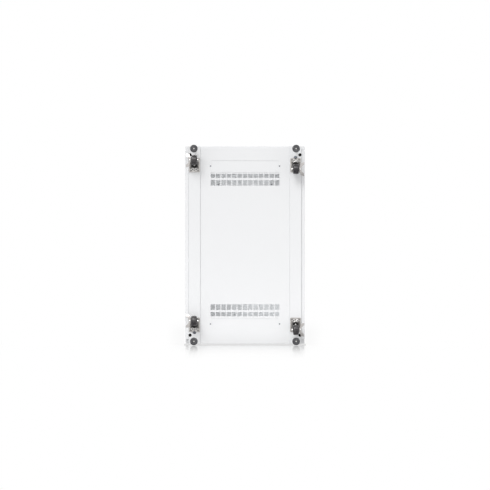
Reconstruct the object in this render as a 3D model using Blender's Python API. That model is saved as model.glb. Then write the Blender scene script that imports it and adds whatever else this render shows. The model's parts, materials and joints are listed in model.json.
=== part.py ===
"""A free-standing 42 unit network rack cabinet on four swivel casters and four levelling feet.

Metres, +Z up. The origin is on the floor under the middle of the cabinet, the front faces -Y.
The cabinet stands on its levelling feet, with the caster wheels just clear of the floor.
"""

import math

import bmesh
import bpy
from mathutils import Matrix, Vector

# Driving dimensions
WIDTH = 0.600
DEPTH = 0.994
HEIGHT = 2.055
SHEET = 0.0015
THICK_SHEET = 0.002
GAP = 0.0003
RACK_OPENING = 0.450

# Base frame
BEAM_CENTRE = 0.253
BEAM_WIDTH = 0.0575
BEAM_FLOOR = 0.075
BEAM_HEIGHT = 0.040
BEAM_FRONT = -0.488
BEAM_REAR = 0.4965
BEAM_HOLE = (0.275, 0.4512)
BEAM_HOLE_RADIUS = 0.00725
PANEL_FLOOR = 0.080

# Upright frame
POST_OUTER = 0.290
POST_FACE = 0.4715
POST_SIDE = 0.040
POST_LIP = 0.012
SUPPORT_INNER = 0.2565
SUPPORT_OUTER = 0.286
RAIL_FRONT = 0.400
RAIL_REAR = 0.340
RAIL_DEPTH = 0.050
RAIL_LIP = 0.010

# Doors, side panels and roof
DOOR_FLOOR = 0.118
DOOR_TOP = 2.008
DOOR_DEPTH = 0.020
DOOR_AXIS = (0.290, 0.487)
PIN_RADIUS = 0.003
PIN_REACH = 0.012
HINGE_FACE = 0.4945
HINGE_THICKNESS = 0.002
HINGE_LENGTH = 0.034
RUNNING = 0.0003
ROOF_SKIRT = 0.045
SIDE_RETURN = 0.0085
SIDE_FLOOR_RETURN = 0.017
SIDE_FLOOR = 0.082
SIDE_SHEET = 0.0012
WINDOW_HALF_WIDTH = 0.215
WINDOW_FLOOR = 0.200
WINDOW_TOP = 1.926
WINDOW_RIM = 0.014
GLASS_THICKNESS = 0.004

# Vent fields and cable entries, shared by the bottom panel and the roof
VENT_COLUMNS = 13
VENT_PITCH = 0.0268
VENT_OPENING = (0.0223, 0.0285)
VENT_ROWS = (0.3112, 0.3500)
ENTRY_SIZE = (0.335, 0.055)
ENTRY_CENTRE = 0.3955
COVER_SIZE = (0.366, 0.078)

# Casters
CASTER = (0.253, 0.3995)
CASTER_PLATE = (0.055, 0.072, 0.002)
CASTER_BOLTS = (0.018, 0.0275)
CASTER_TRAIL = 0.0225
WHEEL_RADIUS = 0.025
WHEEL_WIDTH = 0.0272
WHEEL_LIFT = 0.003
AXLE_RADIUS = 0.003
RACE_RADIUS = 0.020
KINGPIN_RADIUS = 0.004

# Levelling feet
FOOT = (0.253, 0.477)
PAD_RADIUS = 0.019
STUD_RADIUS = 0.005
STUD_TOP = 0.103
STUD_FLOOR = 0.0015
COLLAR_RADIUS = 0.0078

# Locks
HANDLE_X = 0.257
HANDLE_Z = 1.095
HANDLE_LENGTH = 0.130
SHAFT_RADIUS = 0.006
LATCH_RADIUS = 0.011
LATCH_HEAD = 0.004
LATCH_REACH = 0.0075
LATCH_BARREL_RADIUS = 0.006
TONGUE_HALF_WIDTH = 0.005
TONGUE_THICKNESS = 0.0012
TONGUE_HEIGHT = 0.024

SIDES = {"left": -1, "right": 1}
ENDS = {"front": -1, "rear": 1}

MATERIALS = {
    "white_paint": ((0.88, 0.89, 0.90), 0.45, 0.0),
    "zinc": ((0.55, 0.53, 0.50), 0.35, 0.9),
    "steel": ((0.62, 0.62, 0.63), 0.30, 1.0),
    "dark_plastic": ((0.05, 0.05, 0.055), 0.55, 0.0),
    "wheel_plastic": ((0.055, 0.053, 0.055), 0.45, 0.0),
    "pedal_nickel": ((0.60, 0.57, 0.55), 0.35, 0.6),
    "handle_black": ((0.03, 0.03, 0.033), 0.40, 0.0),
    "glass": ((0.75, 0.80, 0.80), 0.05, 0.0),
}

for old in list(bpy.data.objects):
    bpy.data.objects.remove(old, do_unlink=True)

PARTS = bpy.data.collections.new("rack_cabinet")
CUTTERS = bpy.data.collections.new("cutters")
for collection in (PARTS, CUTTERS):
    bpy.context.scene.collection.children.link(collection)


def make_material(name, colour, roughness, metallic):
    material = bpy.data.materials.new(name)
    material.use_nodes = True
    shader = material.node_tree.nodes["Principled BSDF"]
    shader.inputs["Base Color"].default_value = (*colour, 1)
    shader.inputs["Roughness"].default_value = roughness
    shader.inputs["Metallic"].default_value = metallic
    return material


PAINTS = {name: make_material(name, *values) for name, values in MATERIALS.items()}


def place(name, mesh, location, paint):
    """An object of this mesh at this place, among the parts, or among the cutters without a paint."""
    thing = bpy.data.objects.new(name, mesh)
    thing.location = location
    if paint:
        mesh.materials.append(PAINTS[paint])
        PARTS.objects.link(thing)
    else:
        CUTTERS.objects.link(thing)
        thing.hide_render = True
        thing.display_type = "WIRE"
    return thing


def box(name, low, high, paint=None):
    """A box between two corners."""
    low, high = Vector(low), Vector(high)
    form = bmesh.new()
    bmesh.ops.create_cube(form, size=1)
    bmesh.ops.scale(form, vec=high - low, verts=form.verts)
    mesh = bpy.data.meshes.new(name)
    form.to_mesh(mesh)
    form.free()
    return place(name, mesh, (low + high) / 2, paint)


def cylinder(name, radius, centre, length, axis="Z", paint=None, segments=16):
    """A round bar centred on a point, along one axis."""
    turn = {"X": Matrix.Rotation(math.pi / 2, 3, "Y"), "Y": Matrix.Rotation(math.pi / 2, 3, "X")}
    form = bmesh.new()
    bmesh.ops.create_cone(
        form, cap_ends=True, segments=segments, radius1=radius, radius2=radius, depth=length
    )
    if axis in turn:
        bmesh.ops.rotate(form, matrix=turn[axis], verts=form.verts)
    mesh = bpy.data.meshes.new(name)
    form.to_mesh(mesh)
    form.free()
    mesh.shade_smooth()
    mesh.set_sharp_from_angle(angle=math.radians(35))
    return place(name, mesh, centre, paint)


def many_boxes(name, spans):
    """One cutter that holds a box for each (low, high) span, none of them touching."""
    form = bmesh.new()
    for low, high in spans:
        low, high = Vector(low), Vector(high)
        new = bmesh.ops.create_cube(form, size=1)["verts"]
        bmesh.ops.scale(form, vec=high - low, verts=new)
        bmesh.ops.translate(form, vec=(low + high) / 2, verts=new)
    mesh = bpy.data.meshes.new(name)
    form.to_mesh(mesh)
    form.free()
    return place(name, mesh, (0, 0, 0), None)


def outline_solid(name, points, middle, half_length, axis="Z", paint=None):
    """A closed outline made solid along an axis. The points are in the plane across the axis:
    (x, y) for Z, (x, z) for Y, and (y, z) for X."""
    curve = bpy.data.curves.new(name, "CURVE")
    curve.dimensions = "2D"
    curve.fill_mode = "BOTH"
    curve.extrude = half_length
    spline = curve.splines.new("POLY")
    spline.points.add(len(points) - 1)
    for point, (u, v) in zip(spline.points, points):
        point.co = (u, v, 0, 1)
    spline.use_cyclic_u = True
    guide = bpy.data.objects.new(name + "_outline", curve)
    CUTTERS.objects.link(guide)
    shape = guide.evaluated_get(bpy.context.evaluated_depsgraph_get())
    mesh = bpy.data.meshes.new_from_object(shape)
    bpy.data.objects.remove(guide)
    form = bmesh.new()
    form.from_mesh(mesh)
    bmesh.ops.remove_doubles(form, verts=form.verts, dist=1e-5)
    turn = {
        "X": Matrix(((0, 0, 1), (1, 0, 0), (0, 1, 0))),
        "Y": Matrix(((1, 0, 0), (0, 0, -1), (0, 1, 0))),
    }
    if axis in turn:
        bmesh.ops.rotate(form, matrix=turn[axis], verts=form.verts)
    bmesh.ops.recalc_face_normals(form, faces=form.faces)
    form.to_mesh(mesh)
    form.free()
    mesh.name = name
    return place(name, mesh, middle, paint)


def turned(name, profile, centre, axis, paint, steps=24):
    """A turned solid: the profile holds (radius, place along the axis), from its top down."""
    form = bmesh.new()
    points = [form.verts.new((radius, 0, along)) for radius, along in profile]
    for first, second in zip(points, points[1:] + points[:1]):
        form.edges.new((first, second))
    bmesh.ops.spin(
        form, geom=form.verts[:] + form.edges[:], cent=(0, 0, 0), axis=(0, 0, 1),
        angle=2 * math.pi, steps=steps, use_merge=True, use_duplicate=False,
    )
    bmesh.ops.remove_doubles(form, verts=form.verts, dist=1e-6)
    bmesh.ops.recalc_face_normals(form, faces=form.faces)
    if axis == "X":
        bmesh.ops.rotate(form, matrix=Matrix.Rotation(math.pi / 2, 3, "Y"), verts=form.verts)
    mesh = bpy.data.meshes.new(name)
    form.to_mesh(mesh)
    form.free()
    mesh.shade_smooth()
    mesh.set_sharp_from_angle(angle=math.radians(35))
    return place(name, mesh, centre, paint)


def combine(body, tool, operation):
    """A live Boolean between a part and a cutter."""
    modifier = body.modifiers.new(tool.name, "BOOLEAN")
    modifier.operation = operation
    modifier.object = tool


def cut(body, *tools):
    for tool in tools:
        combine(body, tool, "DIFFERENCE")


def fuse(body, *tools):
    for tool in tools:
        combine(body, tool, "UNION")


def hold(axis_name, point, *pieces):
    """An empty on a joint's axis, which carries the pieces that turn or slide there."""
    empty = bpy.data.objects.new(axis_name, None)
    empty.location = point
    PARTS.objects.link(empty)
    for piece in pieces:
        piece.parent = empty
        piece.matrix_parent_inverse = Matrix.Translation(point).inverted()
    return empty


def vent_spans(low, high):
    """The vent openings of a bottom or roof panel, as boxes from one height to another."""
    half_x, half_y = VENT_OPENING[0] / 2, VENT_OPENING[1] / 2
    spans = []
    for end in ENDS.values():
        for row in VENT_ROWS:
            for column in range(VENT_COLUMNS):
                x = (column - (VENT_COLUMNS - 1) / 2) * VENT_PITCH
                y = end * row
                spans.append(((x - half_x, y - half_y, low), (x + half_x, y + half_y, high)))
    return spans


def entry_spans(low, high):
    """The two cable entries of a bottom or roof panel."""
    half_x, half_y = ENTRY_SIZE[0] / 2, ENTRY_SIZE[1] / 2
    return [
        ((-half_x, end * ENTRY_CENTRE - half_y, low), (half_x, end * ENTRY_CENTRE + half_y, high))
        for end in ENDS.values()
    ]


def cover(name, y, floor):
    """The plate that closes a cable entry from inside."""
    half_x, half_y = COVER_SIZE[0] / 2, COVER_SIZE[1] / 2
    return box(name, (-half_x, y - half_y, floor), (half_x, y + half_y, floor + SHEET), "white_paint")


# Base frame

def build_beam(side_name, side):
    """A box section running front to back, holding a caster and a foot at each end."""
    x = side * BEAM_CENTRE
    half = BEAM_WIDTH / 2
    beam = box(
        f"base_beam_{side_name}", (x - half, BEAM_FRONT, BEAM_FLOOR),
        (x + half, BEAM_REAR, BEAM_FLOOR + BEAM_HEIGHT), "white_paint",
    )
    hollow = box(
        f"{beam.name}_hollow",
        (x - half + THICK_SHEET, BEAM_FRONT - 0.01, BEAM_FLOOR + THICK_SHEET),
        (x + half - THICK_SHEET, BEAM_REAR + 0.01, BEAM_FLOOR + BEAM_HEIGHT - THICK_SHEET),
    )
    cut(beam, hollow)
    for end_name, end in ENDS.items():
        spot = (side * BEAM_HOLE[0], end * BEAM_HOLE[1], BEAM_FLOOR)
        cut(beam, cylinder(f"{beam.name}_hole_{end_name}", BEAM_HOLE_RADIUS, spot, 0.01))
        nut = (side * FOOT[0], end * FOOT[1], BEAM_FLOOR)
        cut(beam, cylinder(f"{beam.name}_thread_{end_name}", STUD_RADIUS + RUNNING, nut, 0.01))


def build_bottom_panel():
    """A tray between the beams, its ends turned up as sills, with the vent fields in its floor."""
    half = BEAM_CENTRE - BEAM_WIDTH / 2 - GAP
    top = BEAM_FLOOR + BEAM_HEIGHT
    rear = BEAM_REAR - 0.002
    panel = box("bottom_panel", (-half, BEAM_FRONT, PANEL_FLOOR), (half, rear, top), "white_paint")
    hollow = box(
        "bottom_panel_hollow", (-half - 0.01, BEAM_FRONT + SHEET, PANEL_FLOOR + SHEET),
        (half + 0.01, rear - SHEET, top + 0.01),
    )
    low, high = PANEL_FLOOR - 0.01, PANEL_FLOOR + 0.01
    openings = many_boxes("bottom_panel_openings", vent_spans(low, high) + entry_spans(low, high))
    cut(panel, hollow, openings)
    for end_name, end in ENDS.items():
        cover(f"bottom_cable_cover_{end_name}", end * ENTRY_CENTRE, PANEL_FLOOR + SHEET + GAP)


# Upright frame

def post_outline(side, end):
    """A folded corner section: two flanges with inward lips, and its open corner inside."""
    outer_x, outer_y = POST_OUTER, POST_FACE
    inner_x, inner_y = outer_x - POST_SIDE, outer_y - POST_SIDE
    wall = THICK_SHEET
    corner = [
        (outer_x, outer_y), (inner_x, outer_y), (inner_x, outer_y - POST_LIP),
        (inner_x + wall, outer_y - POST_LIP), (inner_x + wall, outer_y - wall),
        (outer_x - wall, outer_y - wall), (outer_x - wall, inner_y + wall),
        (outer_x - POST_LIP, inner_y + wall), (outer_x - POST_LIP, inner_y), (outer_x, inner_y),
    ]
    return [(side * x, end * y) for x, y in corner]


def rail_outline(side, end, flange_y):
    """A 19 inch rail: the flange that equipment bolts to, a web, and a stiffening lip."""
    inner, outer = RACK_OPENING / 2, SUPPORT_INNER - 0.0005
    wall = THICK_SHEET
    corner = [
        (outer, 0), (inner, 0), (inner, RAIL_LIP), (inner + wall, RAIL_LIP), (inner + wall, wall),
        (outer - wall, wall), (outer - wall, RAIL_DEPTH), (outer, RAIL_DEPTH),
    ]
    return [(side * x, end * (flange_y - y)) for x, y in corner]


def build_uprights():
    low, high = BEAM_FLOOR + BEAM_HEIGHT + GAP, HEIGHT - SHEET - GAP
    middle = (0, 0, (low + high) / 2)
    half = (high - low) / 2
    for end_name, end in ENDS.items():
        flange_y = RAIL_FRONT if end < 0 else RAIL_REAR
        for side_name, side in SIDES.items():
            name = f"corner_post_{end_name}_{side_name}"
            outline_solid(name, post_outline(side, end), middle, half, paint="white_paint")
            rail = rail_outline(side, end, flange_y)
            name = f"mounting_rail_{end_name}_{side_name}"
            outline_solid(name, rail, middle, half - GAP, paint="zinc")


def build_supports():
    """Four channels that tie the posts front to back and carry the rails."""
    reach = POST_FACE - POST_SIDE - GAP
    height = 0.040
    levels = {
        "lower": BEAM_FLOOR + BEAM_HEIGHT + GAP,
        "upper": HEIGHT - ROOF_SKIRT,
    }
    for level_name, floor in levels.items():
        for side_name, side in SIDES.items():
            outer, inner = SUPPORT_OUTER, SUPPORT_INNER
            wall = THICK_SHEET
            channel = [
                (outer, floor), (inner, floor), (inner, floor + height), (outer, floor + height),
                (outer, floor + height - wall), (inner + wall, floor + height - wall),
                (inner + wall, floor + wall), (outer, floor + wall),
            ]
            points = [(side * x, z) for x, z in channel]
            name = f"depth_support_{level_name}_{side_name}"
            outline_solid(name, points, (0, 0, 0), reach, axis="Y", paint="white_paint")


def build_roof():
    """A pan with a skirt all round, the same vent fields and the same cable entries."""
    half_x, half_y = WIDTH / 2, DEPTH / 2
    roof = box(
        "roof_panel", (-half_x, -half_y, HEIGHT - ROOF_SKIRT), (half_x, half_y, HEIGHT), "white_paint"
    )
    hollow = box(
        "roof_hollow", (-half_x + SHEET, -half_y + SHEET, HEIGHT - ROOF_SKIRT - 0.01),
        (half_x - SHEET, half_y - SHEET, HEIGHT - SHEET),
    )
    low, high = HEIGHT - 0.01, HEIGHT + 0.01
    openings = many_boxes("roof_openings", vent_spans(low, high) + entry_spans(low, high))
    cut(roof, hollow, openings)
    for end_name, end in ENDS.items():
        cover(f"roof_cable_cover_{end_name}", end * ENTRY_CENTRE, HEIGHT - SHEET - GAP - SHEET)


# Side panels

def quarter_turn_lock(name, face, outward, axis):
    """A round lock: a flush head in the sheet, a barrel behind it, and a tongue that points up.
    face is the middle of the head's outer face, outward the direction it looks along its axis."""
    along = Vector((outward, 0, 0)) if axis == "X" else Vector((0, outward, 0))
    face = Vector(face)
    head = cylinder(name, LATCH_RADIUS, face - along * LATCH_HEAD / 2, LATCH_HEAD, axis, "handle_black")
    barrel = cylinder(
        f"{name}_barrel", LATCH_BARREL_RADIUS, face - along * (LATCH_REACH / 2 + 0.001), LATCH_REACH, axis
    )
    half = TONGUE_HALF_WIDTH
    middle = face - along * (LATCH_REACH + 0.0005)
    across = Vector((0, half, 0)) if axis == "X" else Vector((half, 0, 0))
    thick = Vector(abs(step) for step in along) * TONGUE_THICKNESS / 2
    blade = box(
        f"{name}_blade", middle - across - thick - Vector((0, 0, half)),
        middle + across + thick + Vector((0, 0, TONGUE_HEIGHT)),
    )
    fuse(head, barrel, blade)
    return head


def build_side_panel(side_name, side):
    """A removable cover: a sheet with folded edges, its floor return reaching in to the beam."""
    outer = WIDTH / 2

    def span(inner_x, outer_x, low_y, high_y, low_z, high_z):
        low_x, high_x = sorted((side * inner_x, side * outer_x))
        return (low_x, low_y, low_z), (high_x, high_y, high_z)

    reach = POST_FACE
    inner = outer - SIDE_RETURN
    panel = box(
        f"side_panel_{side_name}", *span(inner, outer, -reach, reach, SIDE_FLOOR, DOOR_TOP),
        paint="white_paint",
    )
    wall = SIDE_SHEET
    hollow = box(
        f"{panel.name}_hollow",
        *span(inner - 0.01, outer - wall, -reach + wall, reach - wall, SIDE_FLOOR + wall, DOOR_TOP - wall),
    )
    cut(panel, hollow)
    lip = box(
        f"{panel.name}_lip",
        *span(outer - SIDE_FLOOR_RETURN, outer - wall / 2, -reach, reach, SIDE_FLOOR, SIDE_FLOOR + wall),
    )
    fuse(panel, lip)
    spot = Vector((side * outer, 0, DOOR_TOP - 0.090))
    cut(panel, cylinder(f"{panel.name}_lock_hole", LATCH_RADIUS + RUNNING, spot, 0.010, "X"))
    lock = quarter_turn_lock(f"side_lock_{side_name}", spot, side, "X")
    carrier = hold(f"side_panel_{side_name}_slide", (side * outer, 0, SIDE_FLOOR), panel)
    turner = hold(f"side_lock_{side_name}_axis", spot, lock)
    turner.parent = carrier
    turner.matrix_parent_inverse = Matrix.Translation(carrier.location).inverted()


# Doors

def door_pan(name, end):
    """A folded pan as wide as the cabinet, open at its back."""
    outer, inner = end * DEPTH / 2, end * (DEPTH / 2 - DOOR_DEPTH)
    half = WIDTH / 2
    low, high = sorted((outer, inner))
    pan = box(name, (-half, low, DOOR_FLOOR), (half, high, DOOR_TOP), "white_paint")
    skin = end * (DEPTH / 2 - SHEET)
    low, high = sorted((skin, inner - end * 0.01))
    hollow = box(
        f"{name}_hollow", (-half + SHEET, low, DOOR_FLOOR + SHEET), (half - SHEET, high, DOOR_TOP - SHEET)
    )
    cut(pan, hollow)
    return pan


def hinge_side(end):
    """The front door hangs on the left post, and the rear door on the right one."""
    return end


def build_hinges(end_name, end):
    """Two brackets with a pin each, which the door's lower and upper folds turn on."""
    x, y = hinge_side(end) * DOOR_AXIS[0], end * DOOR_AXIS[1]
    inward = -hinge_side(end)
    start_x = x - inward * 2 * PIN_RADIUS
    low_x, high_x = sorted((start_x, start_x + inward * HINGE_LENGTH))
    low_y, high_y = sorted((end * HINGE_FACE, end * (POST_FACE + GAP)))
    beam_top = BEAM_FLOOR + BEAM_HEIGHT
    for level_name, floor, pin_low, pin_high in (
        ("lower", beam_top + GAP, beam_top + 0.001, DOOR_FLOOR + PIN_REACH),
        ("upper", DOOR_TOP + 0.0007, DOOR_TOP - PIN_REACH, DOOR_TOP + 0.0017),
    ):
        bracket = box(
            f"{end_name}_hinge_{level_name}", (low_x, low_y, floor),
            (high_x, high_y, floor + HINGE_THICKNESS), "steel",
        )
        middle = (x, y, (pin_low + pin_high) / 2)
        pin = cylinder(f"{bracket.name}_pin", PIN_RADIUS, middle, pin_high - pin_low)
        fuse(bracket, pin)


def pin_holes(door, end):
    """Bores for the hinge pins in the door's lower and upper folds."""
    x, y = hinge_side(end) * DOOR_AXIS[0], end * DOOR_AXIS[1]
    for level_name, z in (("lower", DOOR_FLOOR), ("upper", DOOR_TOP)):
        bore = cylinder(f"{door.name}_bore_{level_name}", PIN_RADIUS + RUNNING, (x, y, z), 0.01)
        cut(door, bore)


def build_front_door():
    """A steel frame round a glass pane, with a lift and turn handle on its right stile."""
    front = -DEPTH / 2
    door = door_pan("front_door_frame", ENDS["front"])
    half, rim = WINDOW_HALF_WIDTH, WINDOW_RIM
    ring = box(
        "front_door_rim", (-half - SHEET, front + SHEET / 2, WINDOW_FLOOR - SHEET),
        (half + SHEET, front + SHEET + rim, WINDOW_TOP + SHEET),
    )
    window = box("front_door_window", (-half, front - 0.01, WINDOW_FLOOR), (half, front + 0.03, WINDOW_TOP))
    fuse(door, ring)
    cut(door, window)
    pin_holes(door, ENDS["front"])
    shaft_hole = cylinder(
        "front_door_shaft_hole", SHAFT_RADIUS + RUNNING, (HANDLE_X, front, HANDLE_Z), 0.02, "Y"
    )
    cut(door, shaft_hole)
    pane = box(
        "front_door_glass",
        (-half + GAP, front + 0.002, WINDOW_FLOOR + GAP),
        (half - GAP, front + 0.002 + GLASS_THICKNESS, WINDOW_TOP - GAP), "glass",
    )
    base = build_handle_base(front)
    hinge = hold("front_door_axis", (-DOOR_AXIS[0], -DOOR_AXIS[1], 0), door, pane, base)
    build_handle(front, hinge)


def rounded_bar(half_width, low, high, arc_steps=8):
    """The outline of a bar with a round upper end and a softly rounded lower end, as (x, z)."""
    points = []
    for step in range(arc_steps + 1):
        angle = math.pi * step / arc_steps
        points.append((half_width * math.cos(angle), high - half_width + half_width * math.sin(angle)))
    corner = half_width * 0.5
    for centre_x, start in ((-half_width + corner, math.pi), (half_width - corner, 1.5 * math.pi)):
        for step in range(5):
            angle = start + math.pi / 2 * step / 4
            points.append((centre_x + corner * math.cos(angle), low + corner + corner * math.sin(angle)))
    return points


BASE_THICKNESS = 0.004
HUB_HEAD = 0.003
HUB_RADIUS = 0.0145
LEVER_HALF_THICKNESS = 0.004
LEVER_HALF_WIDTH = 0.011
LIFT_PIN_RADIUS = 0.0016
KEY_RADIUS = 0.0055
KEY_RISE = 0.018


def lever_pivot(front):
    """The point that the lever lifts about, in front of the turning hub."""
    y = front - GAP - BASE_THICKNESS - GAP - HUB_HEAD - 0.0005 - LEVER_HALF_THICKNESS
    return Vector((HANDLE_X, y, HANDLE_Z))


def build_handle_base(front):
    """The plate that the handle lies on."""
    outline = rounded_bar(0.016, -HANDLE_LENGTH - 0.020, 0.022)
    points = [(HANDLE_X + x, HANDLE_Z + z) for x, z in outline]
    y = front - GAP - BASE_THICKNESS / 2
    base = outline_solid("handle_base", points, (0, y, 0), BASE_THICKNESS / 2, axis="Y", paint="handle_black")
    bore = cylinder("handle_base_bore", SHAFT_RADIUS + RUNNING, (HANDLE_X, y, HANDLE_Z), 0.02, "Y")
    cut(base, bore)
    return base


def build_handle(front, hinge):
    """The hub with its cam, the lever that lifts off the plate, and the key cylinder in the lever."""
    pivot = lever_pivot(front)
    plate_face = front - GAP - BASE_THICKNESS - GAP
    head_spot = (HANDLE_X, plate_face - HUB_HEAD / 2, HANDLE_Z)
    hub = cylinder("handle_hub", HUB_RADIUS, head_spot, HUB_HEAD, "Y", "handle_black")
    shaft_end = front + 0.014
    shaft_start = plate_face - HUB_HEAD / 2
    shaft = cylinder(
        "handle_hub_shaft", SHAFT_RADIUS, (HANDLE_X, (shaft_start + shaft_end) / 2, HANDLE_Z),
        shaft_end - shaft_start, "Y",
    )
    cam = box(
        "handle_hub_cam", (HANDLE_X - 0.009, shaft_end - 0.005, HANDLE_Z - 0.009),
        (HANDLE_X + 0.034, shaft_end - 0.002, HANDLE_Z + 0.009),
    )
    ear_low = (HANDLE_X - 0.004, pivot.y - 0.0025, HANDLE_Z - 0.0025)
    ear = box("handle_hub_ear", ear_low, (HANDLE_X + 0.004, plate_face - 0.001, HANDLE_Z + 0.0025))
    pin = cylinder("handle_hub_pin", LIFT_PIN_RADIUS, pivot, 0.020, "X", segments=12)
    fuse(hub, shaft, cam, ear, pin)

    lower_end = [point for point in rounded_bar(LEVER_HALF_WIDTH, -HANDLE_LENGTH, 0.0)
                 if point[1] < -LEVER_HALF_WIDTH]
    upper_end = [(LEVER_HALF_WIDTH, 0.0), (-LEVER_HALF_WIDTH, 0.0)]
    points = [(HANDLE_X + x, HANDLE_Z + z) for x, z in upper_end + lower_end]
    lever = outline_solid(
        "handle_lever", points, (0, pivot.y, 0), LEVER_HALF_THICKNESS, axis="Y", paint="handle_black"
    )
    knuckle = cylinder("handle_lever_knuckle", LEVER_HALF_THICKNESS, pivot, 2 * LEVER_HALF_WIDTH, "X")
    slot = box(
        "handle_lever_slot", (HANDLE_X - 0.0045, pivot.y - 0.010, HANDLE_Z - 0.009),
        (HANDLE_X + 0.0045, pivot.y + 0.010, HANDLE_Z + 0.010),
    )
    bore = cylinder("handle_lever_bore", LIFT_PIN_RADIUS + RUNNING, pivot, 0.030, "X", segments=12)
    key_spot = Vector((HANDLE_X, pivot.y, HANDLE_Z - HANDLE_LENGTH + KEY_RISE))
    key_bore = cylinder("handle_key_bore", KEY_RADIUS + RUNNING, key_spot, 0.020, "Y")
    fuse(lever, knuckle)
    cut(lever, slot, bore, key_bore)
    key = cylinder("key_cylinder", KEY_RADIUS, key_spot, 2 * LEVER_HALF_THICKNESS - 0.001, "Y", "steel")

    turn = hold("handle_turn_axis", (HANDLE_X, pivot.y, HANDLE_Z), hub)
    lift = hold("handle_lift_axis", pivot, lever)
    spin = hold("key_axis", key_spot, key)
    for child, parent in ((turn, hinge), (lift, turn), (spin, lift)):
        child.parent = parent
        child.matrix_parent_inverse = Matrix.Translation(parent.location).inverted()


REAR_VENT_ROWS = (0.300, 0.3363, 1.790, 1.8263)


def build_rear_door():
    """A sheet steel door with two vent fields and a round lock."""
    rear = DEPTH / 2
    door = door_pan("rear_door", ENDS["rear"])
    half_x, half_z = VENT_OPENING[0] / 2, VENT_OPENING[1] / 2
    spans = []
    for row in REAR_VENT_ROWS:
        for column in range(VENT_COLUMNS):
            x = (column - (VENT_COLUMNS - 1) / 2) * VENT_PITCH
            spans.append(((x - half_x, rear - 0.005, row - half_z), (x + half_x, rear + 0.01, row + half_z)))
    cut(door, many_boxes("rear_door_vents", spans))
    pin_holes(door, ENDS["rear"])
    spot = Vector((-HANDLE_X, rear, HANDLE_Z))
    cut(door, cylinder("rear_door_lock_hole", LATCH_RADIUS + RUNNING, spot, 0.010, "Y"))
    lock = quarter_turn_lock("rear_lock", spot, 1, "Y")
    hinge = hold("rear_door_axis", (DOOR_AXIS[0], DOOR_AXIS[1], 0), door)
    turner = hold("rear_lock_axis", spot, lock)
    turner.parent = hinge
    turner.matrix_parent_inverse = Matrix.Translation(hinge.location).inverted()


# Casters

AXLE_Z = WHEEL_RADIUS + WHEEL_LIFT
PLATE_FLOOR = BEAM_FLOOR - GAP - CASTER_PLATE[2]
RACE_FLOOR = PLATE_FLOOR - 0.0025
FORK_TOP = RACE_FLOOR - 0.0004
FORK_THICKNESS = 0.0025
LEG_INNER = 0.0147
LEG_OUTER = 0.0167


def build_caster_plate(name, x, y):
    """A stamped plate with four bolt holes, the upper race, and the kingpin."""
    half_x, half_y, thickness = CASTER_PLATE[0] / 2, CASTER_PLATE[1] / 2, CASTER_PLATE[2]
    plate = box(
        name, (x - half_x, y - half_y, PLATE_FLOOR), (x + half_x, y + half_y, PLATE_FLOOR + thickness), "zinc"
    )
    race = cylinder(f"{name}_race", RACE_RADIUS, (x, y, PLATE_FLOOR - 0.00075), 0.0035)
    kingpin_floor = FORK_TOP - FORK_THICKNESS - 0.0015
    length = PLATE_FLOOR + 0.001 - kingpin_floor
    kingpin = cylinder(f"{name}_kingpin", KINGPIN_RADIUS, (x, y, kingpin_floor + length / 2), length)
    fuse(plate, race, kingpin)
    for side in SIDES.values():
        for end in ENDS.values():
            spot = (x + side * CASTER_BOLTS[0], y + end * CASTER_BOLTS[1], PLATE_FLOOR)
            cut(plate, cylinder(f"{name}_bolt_{side}_{end}", 0.0032, spot, 0.01))


def build_fork(name, x, y, trail):
    """The swivelling fork: lower race, two legs, and the riveted axle that holds the wheel."""
    middle = FORK_TOP - FORK_THICKNESS / 2
    fork = cylinder(name, RACE_RADIUS, (x, y, middle), FORK_THICKNESS, paint="zinc")
    wheel_y = y + trail
    direction = math.copysign(1, trail)
    leg = [
        (y - direction * 0.013, FORK_TOP - 0.0006), (y + direction * 0.013, FORK_TOP - 0.0006),
        (wheel_y + direction * 0.0075, AXLE_Z + 0.004), (wheel_y + direction * 0.006, AXLE_Z - 0.006),
        (wheel_y - direction * 0.006, AXLE_Z - 0.0075), (wheel_y - direction * 0.010, AXLE_Z + 0.004),
        (y - direction * 0.013, FORK_TOP - 0.012),
    ]
    for side_name, side in SIDES.items():
        leg_x = x + side * (LEG_INNER + LEG_OUTER) / 2
        half = (LEG_OUTER - LEG_INNER) / 2
        fuse(fork, outline_solid(f"{name}_leg_{side_name}", leg, (leg_x, 0, 0), half, axis="X"))
    fuse(fork, cylinder(f"{name}_axle", AXLE_RADIUS, (x, wheel_y, AXLE_Z), 0.0385, "X"))
    cut(fork, cylinder(f"{name}_bore", KINGPIN_RADIUS + RUNNING, (x, y, middle), 0.01))
    return fork


def build_wheel(name, x, y):
    """A solid wheel with rounded shoulders and a bore for the axle."""
    half, shoulder = WHEEL_WIDTH / 2, 0.005
    profile = [(AXLE_RADIUS + RUNNING, half), (0.009, half), (0.0105, half - 0.0015), (0.018, half - 0.0015)]
    for step in range(4):
        angle = math.pi / 2 * step / 3
        profile.append((
            WHEEL_RADIUS - shoulder + shoulder * math.sin(angle),
            half - 0.0003 - shoulder + shoulder * math.cos(angle),
        ))
    profile += [(radius, -along) for radius, along in reversed(profile)]
    return turned(name, profile, (x, y, AXLE_Z), "X", "wheel_plastic", steps=24)


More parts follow.
